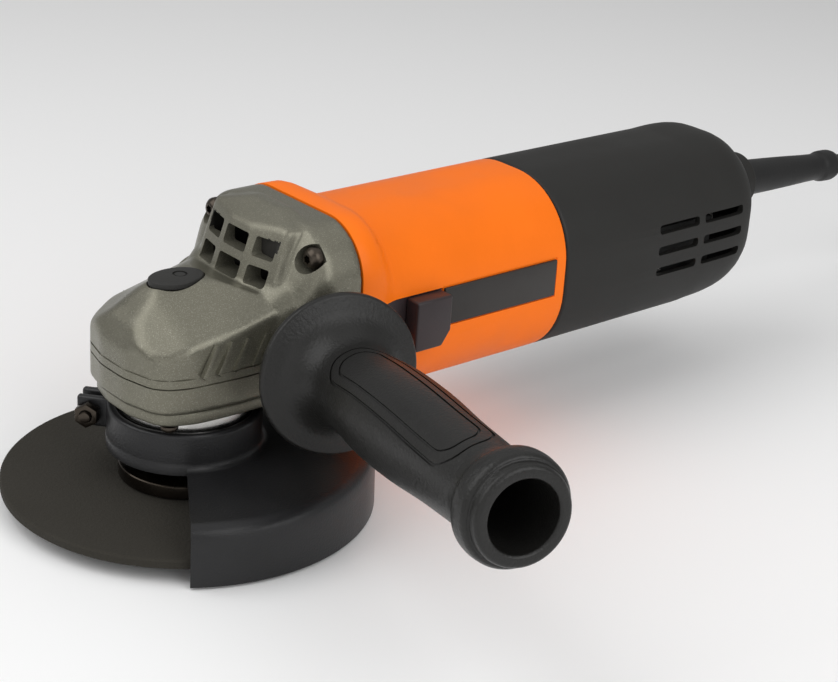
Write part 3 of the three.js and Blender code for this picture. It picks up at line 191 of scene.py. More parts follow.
def vertex_string(name, points):
    """A chain of edges drawn out point by point from one vertex, left in edit mode."""
    deselect()
    bpy.ops.mesh.primitive_plane_add(size=0.001, location=points[0])
    piece = bpy.context.object
    piece.name = piece.data.name = name
    bpy.ops.object.mode_set(mode="EDIT")
    bpy.ops.mesh.merge(type="CENTER")
    for here, there in zip(points, points[1:]):
        bpy.ops.mesh.extrude_region_move(TRANSFORM_OT_translate={"value": there - here})
    bpy.ops.mesh.select_all(action="SELECT")
    return piece


def soften(points, radius, steps=3):
    """The same line with each inner corner turned into a short curve."""
    line = [points[0]]
    for before, corner, after in zip(points, points[1:], points[2:]):
        back, onward = before - corner, after - corner
        reach = min(radius, back.length * 0.45, onward.length * 0.45)
        start = corner + back.normalized() * reach
        end = corner + onward.normalized() * reach
        for step in range(steps + 1):
            share = step / steps
            line.append(start.lerp(corner, share).lerp(corner.lerp(end, share), share))
    return line + [points[-1]]


def choose(piece):
    """Leaves one piece selected and active."""
    deselect()
    piece.select_set(True)
    bpy.context.view_layer.objects.active = piece


def modify(piece, kind, **settings):
    """Adds one modifier and applies it."""
    choose(piece)
    modifier = piece.modifiers.new(kind.lower(), kind)
    for key, value in settings.items():
        setattr(modifier, key, value)
    bpy.ops.object.modifier_apply(modifier=modifier.name)


def fit(piece, body, material, *nodes, smooth=32):
    """Settles a finished piece in the frame, gives it its finish and what it stands for."""
    choose(piece)
    bpy.ops.object.transform_apply(location=True, rotation=True, scale=True)
    bpy.ops.object.shade_smooth_by_angle(angle=radians(smooth))
    piece.data.materials.clear()
    piece.data.materials.append(material)
    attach(piece, body)
    if nodes:
        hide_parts(*nodes)
    return piece


band = soften([at(77, 452, 0.2)] + [at(x, 452, z) for x, z in
              [(61, 0.2), (61, 15.4), (93, 15.4), (93, 0.2)]] + [at(77, 452, 0.2)], 0.004, 4)
cord_tie = vertex_string("cord_tie", band)
bpy.ops.mesh.remove_doubles(threshold=1e-6)
bpy.ops.mesh.extrude_region_move(TRANSFORM_OT_translate={"value": (0, 0.006, 0)})
modify(cord_tie, "SOLIDIFY", thickness=0.0009, offset=0)
tie_plastic = surface("tie_plastic", (0.02, 0.02, 0.02), 0.4, grain=600)
fit(cord_tie, "housing", tie_plastic)

# ---- Plug ----------------------------------------------------------------------------------
# A moulded two-pin mains plug: a waisted rubbery body that grips the lead, a flat front face
# and two nickel pins moulded in. It lies beside the coil.
plug_low, plug_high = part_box("plug")
PLUG_Y = (plug_low.y + plug_high.y) / 2
PLUG_Z = (plug_low.z + plug_high.z) / 2
deselect()
bpy.ops.mesh.primitive_circle_add(vertices=40, radius=0.0046, fill_type="NGON",
                                  location=(plug_low.x, PLUG_Y, PLUG_Z), rotation=(0, pi / 2, 0))
plug = bpy.context.object
plug.name = "moulded_plug"
bpy.ops.object.transform_apply(location=False, rotation=True, scale=True)
bpy.ops.object.mode_set(mode="EDIT")
bpy.ops.mesh.select_all(action="SELECT")
BODY_STEPS = [(12, 1.3, 1.2), (3, 1.75, 1.4), (4, 1.38, 1.3), (9, 1.19, 1.14), (7, 1.06, 1.03),
              (2, 0.95, 0.93)]
for length, wider, taller in BODY_STEPS:
    bpy.ops.mesh.extrude_region_move(TRANSFORM_OT_translate={"value": (length / 1000, 0, 0)})
    bpy.ops.transform.resize(value=(1, wider, taller))
bpy.ops.mesh.select_all(action="SELECT")
bpy.ops.mesh.normals_make_consistent(inside=False)
bpy.ops.object.mode_set(mode="OBJECT")
modify(plug, "SUBSURF", levels=2, render_levels=2)
plug_rubber = surface("plug_rubber", (0.014, 0.014, 0.015), 0.5, grain=700, bump=0.08)
fit(plug, "housing", plug_rubber, "plug", smooth=50)


def spun(name, points, centre, axis, steps=96):
    """A profile turned all the way round an axis."""
    piece = vertex_string(name, points)
    bpy.ops.mesh.spin(steps=steps, angle=2 * pi, center=centre, axis=axis)
    bpy.ops.mesh.select_all(action="SELECT")
    bpy.ops.mesh.remove_doubles(threshold=1e-6)
    bpy.ops.mesh.normals_make_consistent(inside=False)
    bpy.ops.object.mode_set(mode="OBJECT")
    return piece


nickel = surface("nickel", (0.62, 0.6, 0.55), 0.22, metallic=1, shade=0.85, grain=500, bump=0.03,
                 uneven=0.06)
for side in (-9.5, 9.5):
    pin_line = [Vector((plug_low.x + x / 1000, PLUG_Y + side / 1000, PLUG_Z + r / 1000)) for x, r in
                [(35, 0), (35, 2.4), (55, 2.4), (56, 1.4), (56, 0)]]
    pin_foot = (plug_low.x, PLUG_Y + side / 1000, PLUG_Z)
    pin = spun("plug_pin", soften(pin_line, 0.0006), pin_foot, (1, 0, 0), 32)
    fit(pin, "housing", nickel)


# ---- Gear housing --------------------------------------------------------------------------
# Die-cast alloy in warm grey flake paint: a faceted head over the gears, a vent block, a square
# flange for the motor and a boss for the side handle on each side, cut out for gears and fan.
def flake_paint(name, colour, bright):
    """Metallic paint: tiny flakes that each catch the light their own way, under a satin coat."""
    material = surface(name, colour, 0.3, metallic=0.6, shade=0.8, grain=1500, bump=0.1,
                       uneven=0.07, speckle=0.1)
    nodes, links = material.node_tree.nodes, material.node_tree.links
    skin = nodes["Principled BSDF"]
    flakes = nodes.new("ShaderNodeTexVoronoi")
    flakes.inputs["Scale"].default_value = 6000
    links.new(nodes["Texture Coordinate"].outputs["Object"], flakes.inputs["Vector"])
    glint = nodes.new("ShaderNodeMapRange")
    glint.inputs["From Min"].default_value = 0.7
    glint.inputs["From Max"].default_value = 1.0
    shine = nodes.new("ShaderNodeMix")
    shine.data_type = "RGBA"
    shine.inputs["B"].default_value = (*bright, 1)
    tone = nodes["Mix"]
    links.new(flakes.outputs["Color"], glint.inputs["Value"])
    links.new(glint.outputs["Result"], shine.inputs["Factor"])
    links.new(tone.outputs["Result"], shine.inputs["A"])
    links.new(shine.outputs["Result"], skin.inputs["Base Color"])
    tilt = nodes.new("ShaderNodeBump")
    tilt.inputs["Strength"].default_value = 0.25
    tilt.inputs["Distance"].default_value = 0.0001
    links.new(flakes.outputs["Color"], tilt.inputs["Height"])
    links.new(nodes["Bump"].outputs["Normal"], tilt.inputs["Normal"])
    links.new(tilt.outputs["Normal"], skin.inputs["Normal"])
    return material


def cube(name, low, high):
    """A block between two corners, given in millimetres from the foot of the spindle axis."""
    deselect()
    low, high = at(*low), at(*high)
    bpy.ops.mesh.primitive_cube_add(size=1, location=(low + high) / 2, scale=high - low)
    bpy.ops.object.transform_apply(location=True, rotation=True, scale=True)
    block = bpy.context.object
    block.name = block.data.name = name
    return block


def plate(name, points, depth):
    """A closed outline filled and drawn out to a thickness."""
    piece = vertex_string(name, points)
    bpy.ops.mesh.edge_face_add()
    bpy.ops.mesh.extrude_region_move(TRANSFORM_OT_translate={"value": depth})
    bpy.ops.mesh.select_all(action="SELECT")
    bpy.ops.mesh.normals_make_consistent(inside=False)
    bpy.ops.object.mode_set(mode="OBJECT")
    return piece


def slice_off(piece, *planes):
    """Cuts away what lies beyond each plane, given by a point and the way it faces."""
    choose(piece)
    bpy.ops.object.mode_set(mode="EDIT")
    for point, facing in planes:
        bpy.ops.mesh.select_all(action="SELECT")
        bpy.ops.mesh.bisect(plane_co=at(*point), plane_no=facing, use_fill=True, clear_outer=True)
    bpy.ops.mesh.select_all(action="SELECT")
    bpy.ops.mesh.normals_make_consistent(inside=False)
    bpy.ops.object.mode_set(mode="OBJECT")


def round_edges(piece, width, steps=3, angle=25):
    modify(piece, "BEVEL", width=width / 1000, segments=steps, limit_method="ANGLE",
           angle_limit=radians(angle))


def combine(piece, tool, operation):
    """Joins, cuts or trims a piece with another, which is used up."""
    modify(piece, "BOOLEAN", operation=operation, object=tool, solver="EXACT")
    bpy.data.objects.remove(tool)


def soft_square(name, y, half_width, half_height, centre_z, corner):
    """A rounded square ring that faces along the motor, left in edit mode."""
    deselect()
    bpy.ops.mesh.primitive_plane_add(size=2, location=at(0, y, centre_z), rotation=(pi / 2, 0, 0))
    ring = bpy.context.object
    ring.name = ring.data.name = name
    ring.scale = (half_width / 1000, half_height / 1000, 1)
    bpy.ops.object.transform_apply(location=True, rotation=True, scale=True)
    bpy.ops.object.mode_set(mode="EDIT")
    bpy.ops.mesh.select_all(action="SELECT")
    bpy.ops.mesh.bevel(offset=corner / 1000, segments=15, affect="VERTICES")
    return ring


def lay_ring(y, half_width, half_height, centre_z, corner):
    """Adds one more rounded square ring to the piece being shaped, and deletes its face."""
    bpy.ops.mesh.primitive_plane_add(size=2, location=at(0, y, centre_z), rotation=(pi / 2, 0, 0))
    bpy.ops.transform.resize(value=(half_width / 1000, 1, half_height / 1000),
                             center_override=at(0, y, centre_z))
    bpy.ops.mesh.bevel(offset=corner / 1000, segments=15, affect="VERTICES")
    bpy.ops.mesh.delete(type="ONLY_FACE")


def skinned(name, rings, capped=True):
    """Rounded square rings bridged one to the next: each is y, half width, half height, centre, corner."""
    shell = soft_square(name, *rings[0])
    bpy.ops.mesh.delete(type="ONLY_FACE")
    for ring in rings[1:]:
        bpy.ops.mesh.select_all(action="DESELECT")
        lay_ring(*ring)
    bpy.ops.mesh.select_all(action="SELECT")
    bpy.ops.mesh.bridge_edge_loops()
    if capped:
        bpy.ops.mesh.select_all(action="DESELECT")
        bpy.ops.mesh.select_non_manifold()
        bpy.ops.mesh.edge_face_add()
    bpy.ops.mesh.select_all(action="SELECT")
    bpy.ops.mesh.normals_make_consistent(inside=False)
    bpy.ops.object.mode_set(mode="OBJECT")
    return shell


HEAD_TOP = 74.5
FLANGE_CENTRE = 56.8
AXIS = 55.6
head = cube("gear_case", (-25.2, -26.8, 28), (25.2, 30, HEAD_TOP))
for side in (1, -1):
    slice_off(head, ((side * 6, -26.8, 50), (side * 0.24, -0.971, 0)),
              ((side * 17.5, -23.9, 50), (side * 0.7, -0.714, 0)),
              ((side * 21.2, -20.3, 50), (side * 0.93, -0.367, 0)),
              ((side * 23.7, -12, 50), (side * 0.995, -0.1, 0)),
              ((side * 6, 0, HEAD_TOP + 0.3), (side * 0.5, -0.2, 0.843)),
              ((side * 18, -18, 61.6), (side * 0.46, -0.46, 0.76)))
slice_off(head, ((0, -26.8, 57), (0, -0.9, 0.436)), ((0, -26.8, 62), (0, -0.64, 0.768)))
round_edges(head, 3.6, 6, 8)
slice_off(head, ((0, 0, 40), (0, 0, -1)))
wedge = [at(-30, y, z) for y, z in [(4.5, 74.6), (17, 70.2), (26, 70.2), (26, 78), (4.5, 78)]]
combine(head, plate("vent_step", wedge, Vector((0.06, 0, 0))), "DIFFERENCE")
shoulder = skinned("shoulder", [
    (6, 23.5, 13, 54, 9), (14, 25.4, 15, 55.5, 10), (21, 28.5, 20, 56, 12), (26, 32, 29, FLANGE_CENTRE, 15),
    (29, 33.2, 33.4, FLANGE_CENTRE, 17.6), (30.5, 33.4, 34.2, FLANGE_CENTRE, 18),
    (42, 33.4, 34.2, FLANGE_CENTRE, 18)])
combine(head, shoulder, "UNION")
vents = cube("vent_block", (-21.4, 10, 58), (21.4, 34, 92.8))
slice_off(vents, ((0, 14.2, 72), (0, -0.95, 0.313)), ((0, 19.3, 88.6), (0, -0.4, 0.917)))
for side in (1, -1):
    slice_off(vents, ((side * 8, 14.5, 72), (side * 0.206, -0.921, 0.33)),
              ((side * 19.6, 17.4, 72), (side * 0.83, -0.54, 0.14)),
              ((side * 20.7, 20, 75), (side * 0.993, -0.06, 0.1)),
              ((side * 8, 28, 92.7), (side * 0.25, 0, 0.968)))
round_edges(vents, 1.6)
combine(head, vents, "UNION")

SWEEP, LIFT = radians(15), radians(5.7)
HANDLE_AXIS = Vector((cos(LIFT) * cos(SWEEP), -cos(LIFT) * sin(SWEEP), sin(LIFT)))
HANDLE_UP = Vector((-sin(LIFT) * cos(SWEEP), sin(LIFT) * sin(SWEEP), cos(LIFT)))
HANDLE_FOOT = at(0, 35.3, 49.2)


def handle_line(profile, side=1):
    """A profile of distance and radius set along the handle's slanting axis."""
    flip = Vector((side, 1, 1))
    return [HANDLE_FOOT + (HANDLE_AXIS * s + HANDLE_UP * r) / 1000 * flip for s, r in profile]


for side in (1, -1):
    boss_line = handle_line([(16, 0), (16, 12.5), (34, 11.6), (39, 11), (39, 0)], side)
    boss = spun("boss", soften(boss_line, 0.0008), HANDLE_FOOT, HANDLE_AXIS * Vector((side, 1, 1)), 40)
    combine(head, boss, "UNION")
modify(head, "REMESH", mode="VOXEL", voxel_size=0.00062)
modify(head, "SMOOTH", factor=0.5, iterations=14)

RIB_FEET = (-10.8, -5.4, 0.5, 7.3)
for side in (1, -1):
    for foot in RIB_FEET:
        rib = cube("rib", (-0.9, -0.6, 51.5), (0.9, 0.6, 62.5))
        slice_off(rib, ((0.9, 0, 57), (0.98, -0.2, 0)), ((-0.9, 0, 57), (-0.98, -0.2, 0)))
        choose(rib)
        bpy.ops.object.mode_set(mode="EDIT")
        bpy.ops.mesh.select_all(action="SELECT")
        bpy.ops.transform.rotate(value=radians(27), orient_axis="X", center_override=at(0, 0, 51.5))
        bpy.ops.transform.translate(value=(side * 0.0251, foot / 1000, 0))
        bpy.ops.object.mode_set(mode="OBJECT")
        combine(head, rib, "UNION")

GROOVE_LINE = [(-25.9, 30), (-25.9, 0), (-24.7, -12.5), (-22, -20.8), (-18.2, -24.7), (-6.2, -27.8),
               (6.2, -27.8), (18.2, -24.7), (22, -20.8), (24.7, -12.5), (25.9, 0), (25.9, 30)]
for height, thick, share in ((48.4, 0.5, 0.94), (51.4, 0.7, 0.955)):
    outer_line = [at(x * 1.2, y * 1.2, height) for x, y in GROOVE_LINE]
    core_line = [at(x * share, y * share, height - 1) for x, y in GROOVE_LINE]
    groove = plate("groove", outer_line, Vector((0, 0, thick / 1000)))
    core = plate("core", core_line, Vector((0, 0, 0.003)))
    combine(groove, core, "DIFFERENCE")
    combine(head, groove, "DIFFERENCE")

WINDOW_COLUMNS = [(-17, -8.5), (-5.6, 5.6), (8.5, 17)]
WINDOW_ROWS = [(71.8, 77.4), (80, 86)]
for left, right in WINDOW_COLUMNS:
    for bottom, top in WINDOW_ROWS:
        window = cube("window", (left, 12.8, bottom), (right, 24, top))
        round_edges(window, 0.9)
        combine(head, window, "DIFFERENCE")
CASE_SCREWS = [(side * 26, FLANGE_CENTRE - 0.6 + level * 26.5) for side in (1, -1) for level in (1, -1)]


def bore(name, radius, start, end, x=0.0, z=AXIS, steps=48):
    """A round cutter along the motor's direction."""
    return spun(name, [at(x, start, z), at(x + radius, start, z), at(x + radius, end, z), at(x, end, z)],
                at(x, start, z), (0, 1, 0), steps)


def well(name, radius, bottom, top, x=0.0, y=0.0, steps=48):
    """A round cutter that stands upright."""
    return spun(name, [at(x, y, bottom), at(x + radius, y, bottom), at(x + radius, y, top), at(x, y, top)],
                at(x, y, bottom), (0, 0, 1), steps)


cutters = [well("gear_room", 21.3, 30, 55), well("bush_room", 6.3, 54, 62.8), bore("tunnel", 8, 8.5, 26),
           bore("bearing_seat", 15.3, 24.3, 36), bore("fan_room", 28.9, 35, 46),
           cube("duct", (-17.5, 21.5, 71), (17.5, 36, 86)), well("pin_bore", 2.2, 53, 72, 0, -9.3, 24),
           well("spring_well", 4.3, 63.9, 72, 0, -9.3, 32)]
cutters += [bore("screw_pocket", 4.3, 4, 30, x, z, 32) for x, z in CASE_SCREWS]
cutters += [bore("screw_hole", 2.2, 20, 50, x, z, 24) for x, z in CASE_SCREWS]
for side in (1, -1):
    hole_line = handle_line([(26, 0), (26, 4.3), (42, 4.3), (42, 0)], side)
    cutters.append(spun("stud_hole", hole_line, HANDLE_FOOT, HANDLE_AXIS * Vector((side, 1, 1)), 32))
for cutter in cutters:
    combine(head, cutter, "DIFFERENCE")


def button_oval(grow, bottom, top, name):
    """An upright block with the lock button's rounded outline, grown by a clearance."""
    rim = [at((6.5 + grow) * cos(a), (9.25 + grow) * sin(a) - 4, bottom) for a in
           [2 * pi * step / 40 for step in range(40)]]
    return plate(name, rim, Vector((0, 0, (top - bottom) / 1000)))


combine(head, button_oval(0.4, 69, 80, "button_recess"), "DIFFERENCE")
grey_flake = flake_paint("grey_flake", (0.175, 0.168, 0.13), (0.36, 0.35, 0.29))
fit(head, "housing", grey_flake, "gear_housing", smooth=40)
# Near-black finish for the faces inside the vent duct, picked out by their place: painted shade for the
# dark inside seen through the windows.
duct_painted_shade = surface("duct_painted_shade", (0.02, 0.019, 0.016), 0.7, metallic=0.2, grain=900, bump=0.3)
head.data.materials.append(duct_painted_shade)
duct_low, duct_high = at(-17.7, 20.5, 62), at(17.7, 41.8, 86.2)
for face in head.data.polygons:
    place = head.matrix_world @ face.center
    if all(duct_low[k] < place[k] < duct_high[k] for k in range(3)):
        face.material_index = 1

# ---- Case screws and bearing box screws ----------------------------------------------------
# Black-oxide machine screws with a domed head and a six-point socket. Four hold the motor
# housing to the gear housing and four smaller ones hold the bearing box up to its underside.
dark_oxide = surface("dark_oxide", (0.075, 0.062, 0.05), 0.3, metallic=0.95, shade=0.6, grain=700,
                     bump=0.05)


def socket_screw(name, foot, along, head, height, shank, length):
    """A domed screw head on a plain shank, with a star socket; its face looks back along its shank."""
    side = along.orthogonal().normalized()
    line = [foot + (side * r + along * s) / 1000 for r, s in
            [(0, 0.0), (head * 0.62, 0), (head, height * 0.4), (head, height), (shank, height),
             (shank, height + length), (0, height + length)]]
    screw = spun(name, soften(line, 0.0006, 2), foot, along, 32)
    socket_line = [foot + (side * r + along * s) / 1000 for r, s in
                   [(0, -1), (head * 0.44, -1), (head * 0.44, height * 0.55), (0, height * 0.55)]]
    socket = spun("socket", socket_line, foot, along, 12)
    choose(socket)
    bpy.ops.object.mode_set(mode="EDIT")
    bpy.ops.mesh.select_all(action="DESELECT")
    bpy.ops.object.mode_set(mode="OBJECT")
    for corner in socket.data.vertices:
        spoke = corner.co + socket.location - foot
        spoke -= along * spoke.dot(along)
        if spoke.length > 1e-5:
            turn = round(degrees(spoke.angle(side)))
            corner.select = turn % 60 == 30
    bpy.ops.object.mode_set(mode="EDIT")
    bpy.ops.transform.resize(value=(0.72, 0.72, 0.72), center_override=foot)
    bpy.ops.object.mode_set(mode="OBJECT")
    combine(screw, socket, "DIFFERENCE")
    return screw


for number in range(1, 5):
    low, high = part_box(f"gear_housing_screw_{number}")
    foot = Vector(((low.x + high.x) / 2, low.y, (low.z + high.z) / 2))
    screw = socket_screw("case_screw", foot, Vector((0, 1, 0)), 3.5, 4, 1.9, 20)
    fit(screw, "housing", dark_oxide, f"gear_housing_screw_{number}")
for number in range(1, 5):
    low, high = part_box(f"bearing_box_screw_{number}")
    foot = Vector(((low.x + high.x) / 2, (low.y + high.y) / 2, low.z))
    screw = socket_screw("bearing_box_bolt", foot, Vector((0, 0, 1)), 2.8, 2.3, 1.5, 10.7)
    fit(screw, "housing", dark_oxide, f"bearing_box_screw_{number}")

# ---- Spindle lock button -------------------------------------------------------------------
# A black plastic button, almost level with the crown, with a fine ring sunk in its top. The pin
# in one piece with it reaches down to the gear, and a spring under it pushes it up again.
black_button = surface("black_button", (0.02, 0.0195, 0.018), 0.5, grain=1300, bump=0.12)
button = button_oval(0, 72.7, 74.9, "lock_button")
button_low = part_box("spindle_lock_button")[0]
round_edges(button, 0.5, 3, 40)
combine(button, well("dimple_ring", 2.3, 74.4, 78, -0.7, -2.1), "DIFFERENCE")
combine(button, well("dimple_core", 1.7, 74.1, 74.75, -0.7, -2.1), "UNION")
combine(button, well("lock_pin", 1.7, 1000 * button_low.z, 74, 0, -9.3, 24), "UNION")
fit(button, "spindle_lock", black_button, "spindle_lock_button", smooth=40)

# ---- Bearing box and steel neck ------------------------------------------------------------
# A die-cast plate screwed under the gear case, with a machined steel neck below it that
# carries the guard and holds the spindle bearing.
box_side = [(6, -25), (16.4, -22.2), (20, -18.8), (22.8, -11), (23.6, 0), (23.8, 19), (21.2, 21.5)]
box_line = box_side + [(-x, y) for x, y in reversed(box_side)] + box_side[:1]
box_rim = soften([at(x, y, 35.6) for x, y in box_line], 0.003)
bearing_plate = plate("bearing_plate", box_rim[:-1], Vector((0, 0, 0.0041)))
round_edges(bearing_plate, 0.7, 3, 50)
combine(bearing_plate, well("seat", 16.3, 34, 42), "DIFFERENCE")
for side in (1, -1):
    for end in (1, -1):
        combine(bearing_plate, well("hole", 1.9, 30, 45, side * 17.3, end * 17.3, 24), "DIFFERENCE")
fit(bearing_plate, "housing", grey_flake, "bearing_box", smooth=40)

turned_steel = surface("turned_steel", (0.62, 0.61, 0.59), 0.22, metallic=1, shade=0.75, grain=300,
                       bump=0.04, uneven=0.08)
neck_line = [at(r, 0, z) for r, z in
             [(11.5, 24), (21, 24), (21, 35.45), (16.4, 35.45), (16.4, 27), (11.5, 27), (11.5, 24)]]
UPRIGHT = (0, 0, 1)
neck = spun("guard_neck", soften(neck_line, 0.0005), at(0, 0, 0), UPRIGHT, 128)
fit(neck, "housing", turned_steel)

# ---- Spindle, flange and lock nut ----------------------------------------------------------
# Turned steel parts. The flange and the nut with its four spanner holes pinch the disc
# between them on the spindle's threaded nose.
flange_line = [at(r, 0, z) for r, z in
               [(7.2, 4.8), (10.85, 4.8), (10.85, 7.7), (14, 7.7), (14.4, 8.3), (17.5, 8.3), (17.9, 7.7),
                (20.9, 7.7), (20.9, 12.3), (13, 12.3), (13, 20), (7.2, 20), (7.2, 4.8)]]
inner_flange = spun("inner_flange_ring", soften(flange_line, 0.0008), at(0, 0, 0), UPRIGHT, 96)
fit(inner_flange, "spindle", dark_oxide, "inner_flange")
nut_line = [at(r, 0, z) for r, z in
            [(7.2, 0.9), (10.5, 0.9), (15, 2.2), (15, 3.9), (7.2, 3.9), (7.2, 0.9)]]
lock_nut = spun("pin_nut", soften(nut_line, 0.0004), at(0, 0, 0), UPRIGHT, 64)
for quarter in range(4):
    turn = quarter * pi / 2
    pin_hole = well("pin_hole", 1.6, -2, 3.2, 11.6 * cos(turn), 11.6 * sin(turn), 20)
    combine(lock_nut, pin_hole, "DIFFERENCE")
fit(lock_nut, "spindle", dark_oxide, "lock_nut")
thread = [(0, 1.4), (6.3, 1.4), (6.9, 2)]
for ridge in range(8):
    thread += [(6.9, 2.4 + ridge * 1.2), (6.35, 2.9 + ridge * 1.2), (6.9, 3.4 + ridge * 1.2)]
thread += [(6.9, 20.3), (8.6, 20.3), (8.6, 27), (6, 27), (6, 48.6), (4, 49.6), (4, 62), (0, 62)]
spindle = spun("threaded_spindle", [at(r, 0, z) for r, z in thread], at(0, 0, 0), UPRIGHT, 48)
fit(spindle, "spindle", turned_steel, "spindle", smooth=25)

# ---- Abrasive disc -------------------------------------------------------------------------
# A flat resin-bonded grinding disc, 115 mm across, gritty all over, with its rims
# worn off a little.
grit = surface("grit", (0.03, 0.027, 0.021), 0.93, shade=0.2, grain=1150, bump=0.9,
               uneven=0.06, speckle=1.2)
DISC_RADIUS = 57.5
DISC_BORE = 11.15
DISC_UNDER, DISC_TOP = 4.2, 7.4
disc_line = [at(r, 0, z) for r, z in
             [(DISC_BORE, DISC_UNDER), (20, DISC_UNDER), (DISC_RADIUS - 0.7, DISC_UNDER),
              (DISC_RADIUS, 4.8), (DISC_RADIUS, 6.8), (DISC_RADIUS - 0.6, DISC_TOP), (20, DISC_TOP),
              (DISC_BORE, DISC_TOP), (DISC_BORE, DISC_UNDER)]]
disc = spun("abrasive_disc", disc_line, at(0, 0, 0), UPRIGHT, 192)
fit(disc, "spindle", grit, "grinding_disc", smooth=30)

# ---- Wheel guard ---------------------------------------------------------------------------
# Pressed sheet steel with a fine black powder coat: a half cap over the disc with a rolled
# shoulder, welded to a split collar that a screw and nut pinch on the neck.
powder = surface("powder_coat", (0.016, 0.016, 0.017), 0.34, shade=0.7, grain=1500, bump=0.25, uneven=0.06)
GUARD_LINE = [(59.7, 0), (61, 0), (60.6, 15), (59.6, 18), (57, 19.4), (26, 19.5), (24.9, 20.2),
              (24.4, 21.5), (24.4, 31.6), (21.4, 31.6), (21.4, 18.1), (56.6, 18.1), (58.6, 16.6),
              (59.3, 14.8), (59.7, 0)]
guard_rim = soften([at(r, 0, z) for r, z in GUARD_LINE], 0.0016, 4)
guard = spun("guard_cap", guard_rim, at(0, 0, 0), UPRIGHT, 240)
MOUTH = [148 + step * 6 for step in range(31)]
mouth_rim = [at(90 * cos(radians(a)), 90 * sin(radians(a)), -3) for a in MOUTH]
mouth_rim += [at(24.7 * cos(radians(a)), 24.7 * sin(radians(a)), -3) for a in reversed(MOUTH)]
combine(guard, plate("mouth", mouth_rim, Vector((0, 0, 0.0258))), "DIFFERENCE")
CLAMP = radians(221)


def by_clamp(piece):
    """Turns a piece made on the +X side round to the clamp's place."""
    choose(piece)
    bpy.ops.object.mode_set(mode="EDIT")
    bpy.ops.mesh.select_all(action="SELECT")
    bpy.ops.transform.rotate(value=-CLAMP, orient_axis="Z", center_override=at(0, 0, 0))
    bpy.ops.object.mode_set(mode="OBJECT")
    return piece


for near, far in ((1.5, 4.1), (-4.1, -1.5)):
    lug = cube("lug", (22.6, near, 21), (33.9, far, 31))
    round_edges(lug, 0.8, 3, 60)
    combine(guard, by_clamp(lug), "UNION")
combine(guard, by_clamp(cube("split", (16, -1.5, 0), (26.4, 1.5, 40))), "DIFFERENCE")


def clamp_bore(name, radius):
    """A cutter that runs through both lugs along the clamp screw."""
    line = [at(29.8 + r, y, 26) for r, y in [(0, -12), (radius, -12), (radius, 12), (0, 12)]]
    return spun(name, line, at(29.8, 0, 26), (0, 1, 0), 24)


combine(guard, by_clamp(clamp_bore("clamp_hole", 2.2)), "DIFFERENCE")
fit(guard, "guard", powder, "wheel_guard", smooth=30)
clamp_screw = socket_screw("clamp_bolt", at(29.8, -7.8, 26), Vector((0, 1, 0)), 3.9, 3.4, 1.9, 13.8)
fit(by_clamp(clamp_screw), "guard", dark_oxide, "guard_clamp_screw")
hexagon = [at(29.8 + 4.1 * sin(a), 4.4, 26 + 4.1 * cos(a)) for a in [k * pi / 3 for k in range(6)]]
clamp_nut = plate("clamp_hexagon", hexagon, Vector((0, 0.0036, 0)))
round_edges(clamp_nut, 0.3, 2, 50)
combine(clamp_nut, clamp_bore("nut_hole", 2.15), "DIFFERENCE")
fit(by_clamp(clamp_nut), "guard", dark_oxide, "guard_clamp_nut")

# ---- Motor housing -------------------------------------------------------------------------
# A glass-filled nylon tube in satin orange: a square front flange that necks down to a round
# barrel, open inside for the motor, with side recesses for the switch slider and the label.
orange = surface("orange_nylon", (0.96, 0.18, 0.004), 0.45, shade=0.93, grain=1200, bump=0.08,
                 uneven=0.08, specular=0.2)
COVER_JOINT = 132.5
barrel = skinned("barrel", [
    (42.3, 33.4, 34.2, FLANGE_CENTRE, 18), (42.6, 33.5, 34.3, FLANGE_CENTRE, 18),
    (49, 33.4, 34.1, FLANGE_CENTRE, 18), (51, 33.1, 33.8, 56.6, 19), (53.5, 32.3, 33, 56.2, 22),
    (56, 31.6, 32.2, 55.8, 25.5), (58, 31.4, 31.9, AXIS, 27),
    (COVER_JOINT - 0.6, 31.4, 31.9, AXIS, 27), (COVER_JOINT, 31, 31.5, AXIS, 26.6)])
carrier = spun("carrier", [at(r, y, AXIS) for r, y in [(0, 120), (28.4, 120), (28.4, 167.5), (0, 167.5)]],
               at(0, 0, AXIS), (0, 1, 0), 64)
combine(barrel, carrier, "UNION")
SIDE_FLOOR = 30.2
hollows = [bore("fan_room", 28.9, 30, 53.8), bore("motor_room", 26.9, 30, 128.5),
           bore("brush_room", 25.3, 127.5, 157.9), bore("bearing_seat", 11.3, 159.9, 168.5),
           bore("shaft_hole", 6.5, 155, 168), cube("track", (SIDE_FLOOR, 53, 46.5), (40, 77.5, 64.5)),
           cube("label_bed", (SIDE_FLOOR + 0.6, 77.3, 50.8), (40, 128, 64.8)),
           cube("rod_way", (20, 50.5, 46.8), (28.3, 168.5, 50.6)),
           cube("tongue_way", (24, 55, 47.2), (40, 75.5, 50.2))]
hollows += [bore("screw_hole", 2.2, 38, 51.8, x, z, 24) for x, z in CASE_SCREWS]
hollows += [bore("air_hole", 5, 155, 169, 18 * cos(radians(a)), AXIS + 18 * sin(radians(a)), 32)
            for a in (45, 135, 225, 315)]
hollows += [cube("brush_way", (low, 138.2, 51.3), (low + 12, 147.8, 59.9)) for low in (20, -32)]
for hollow in hollows:
    combine(barrel, hollow, "DIFFERENCE")
fit(barrel, "housing", orange, "motor_housing", smooth=30)

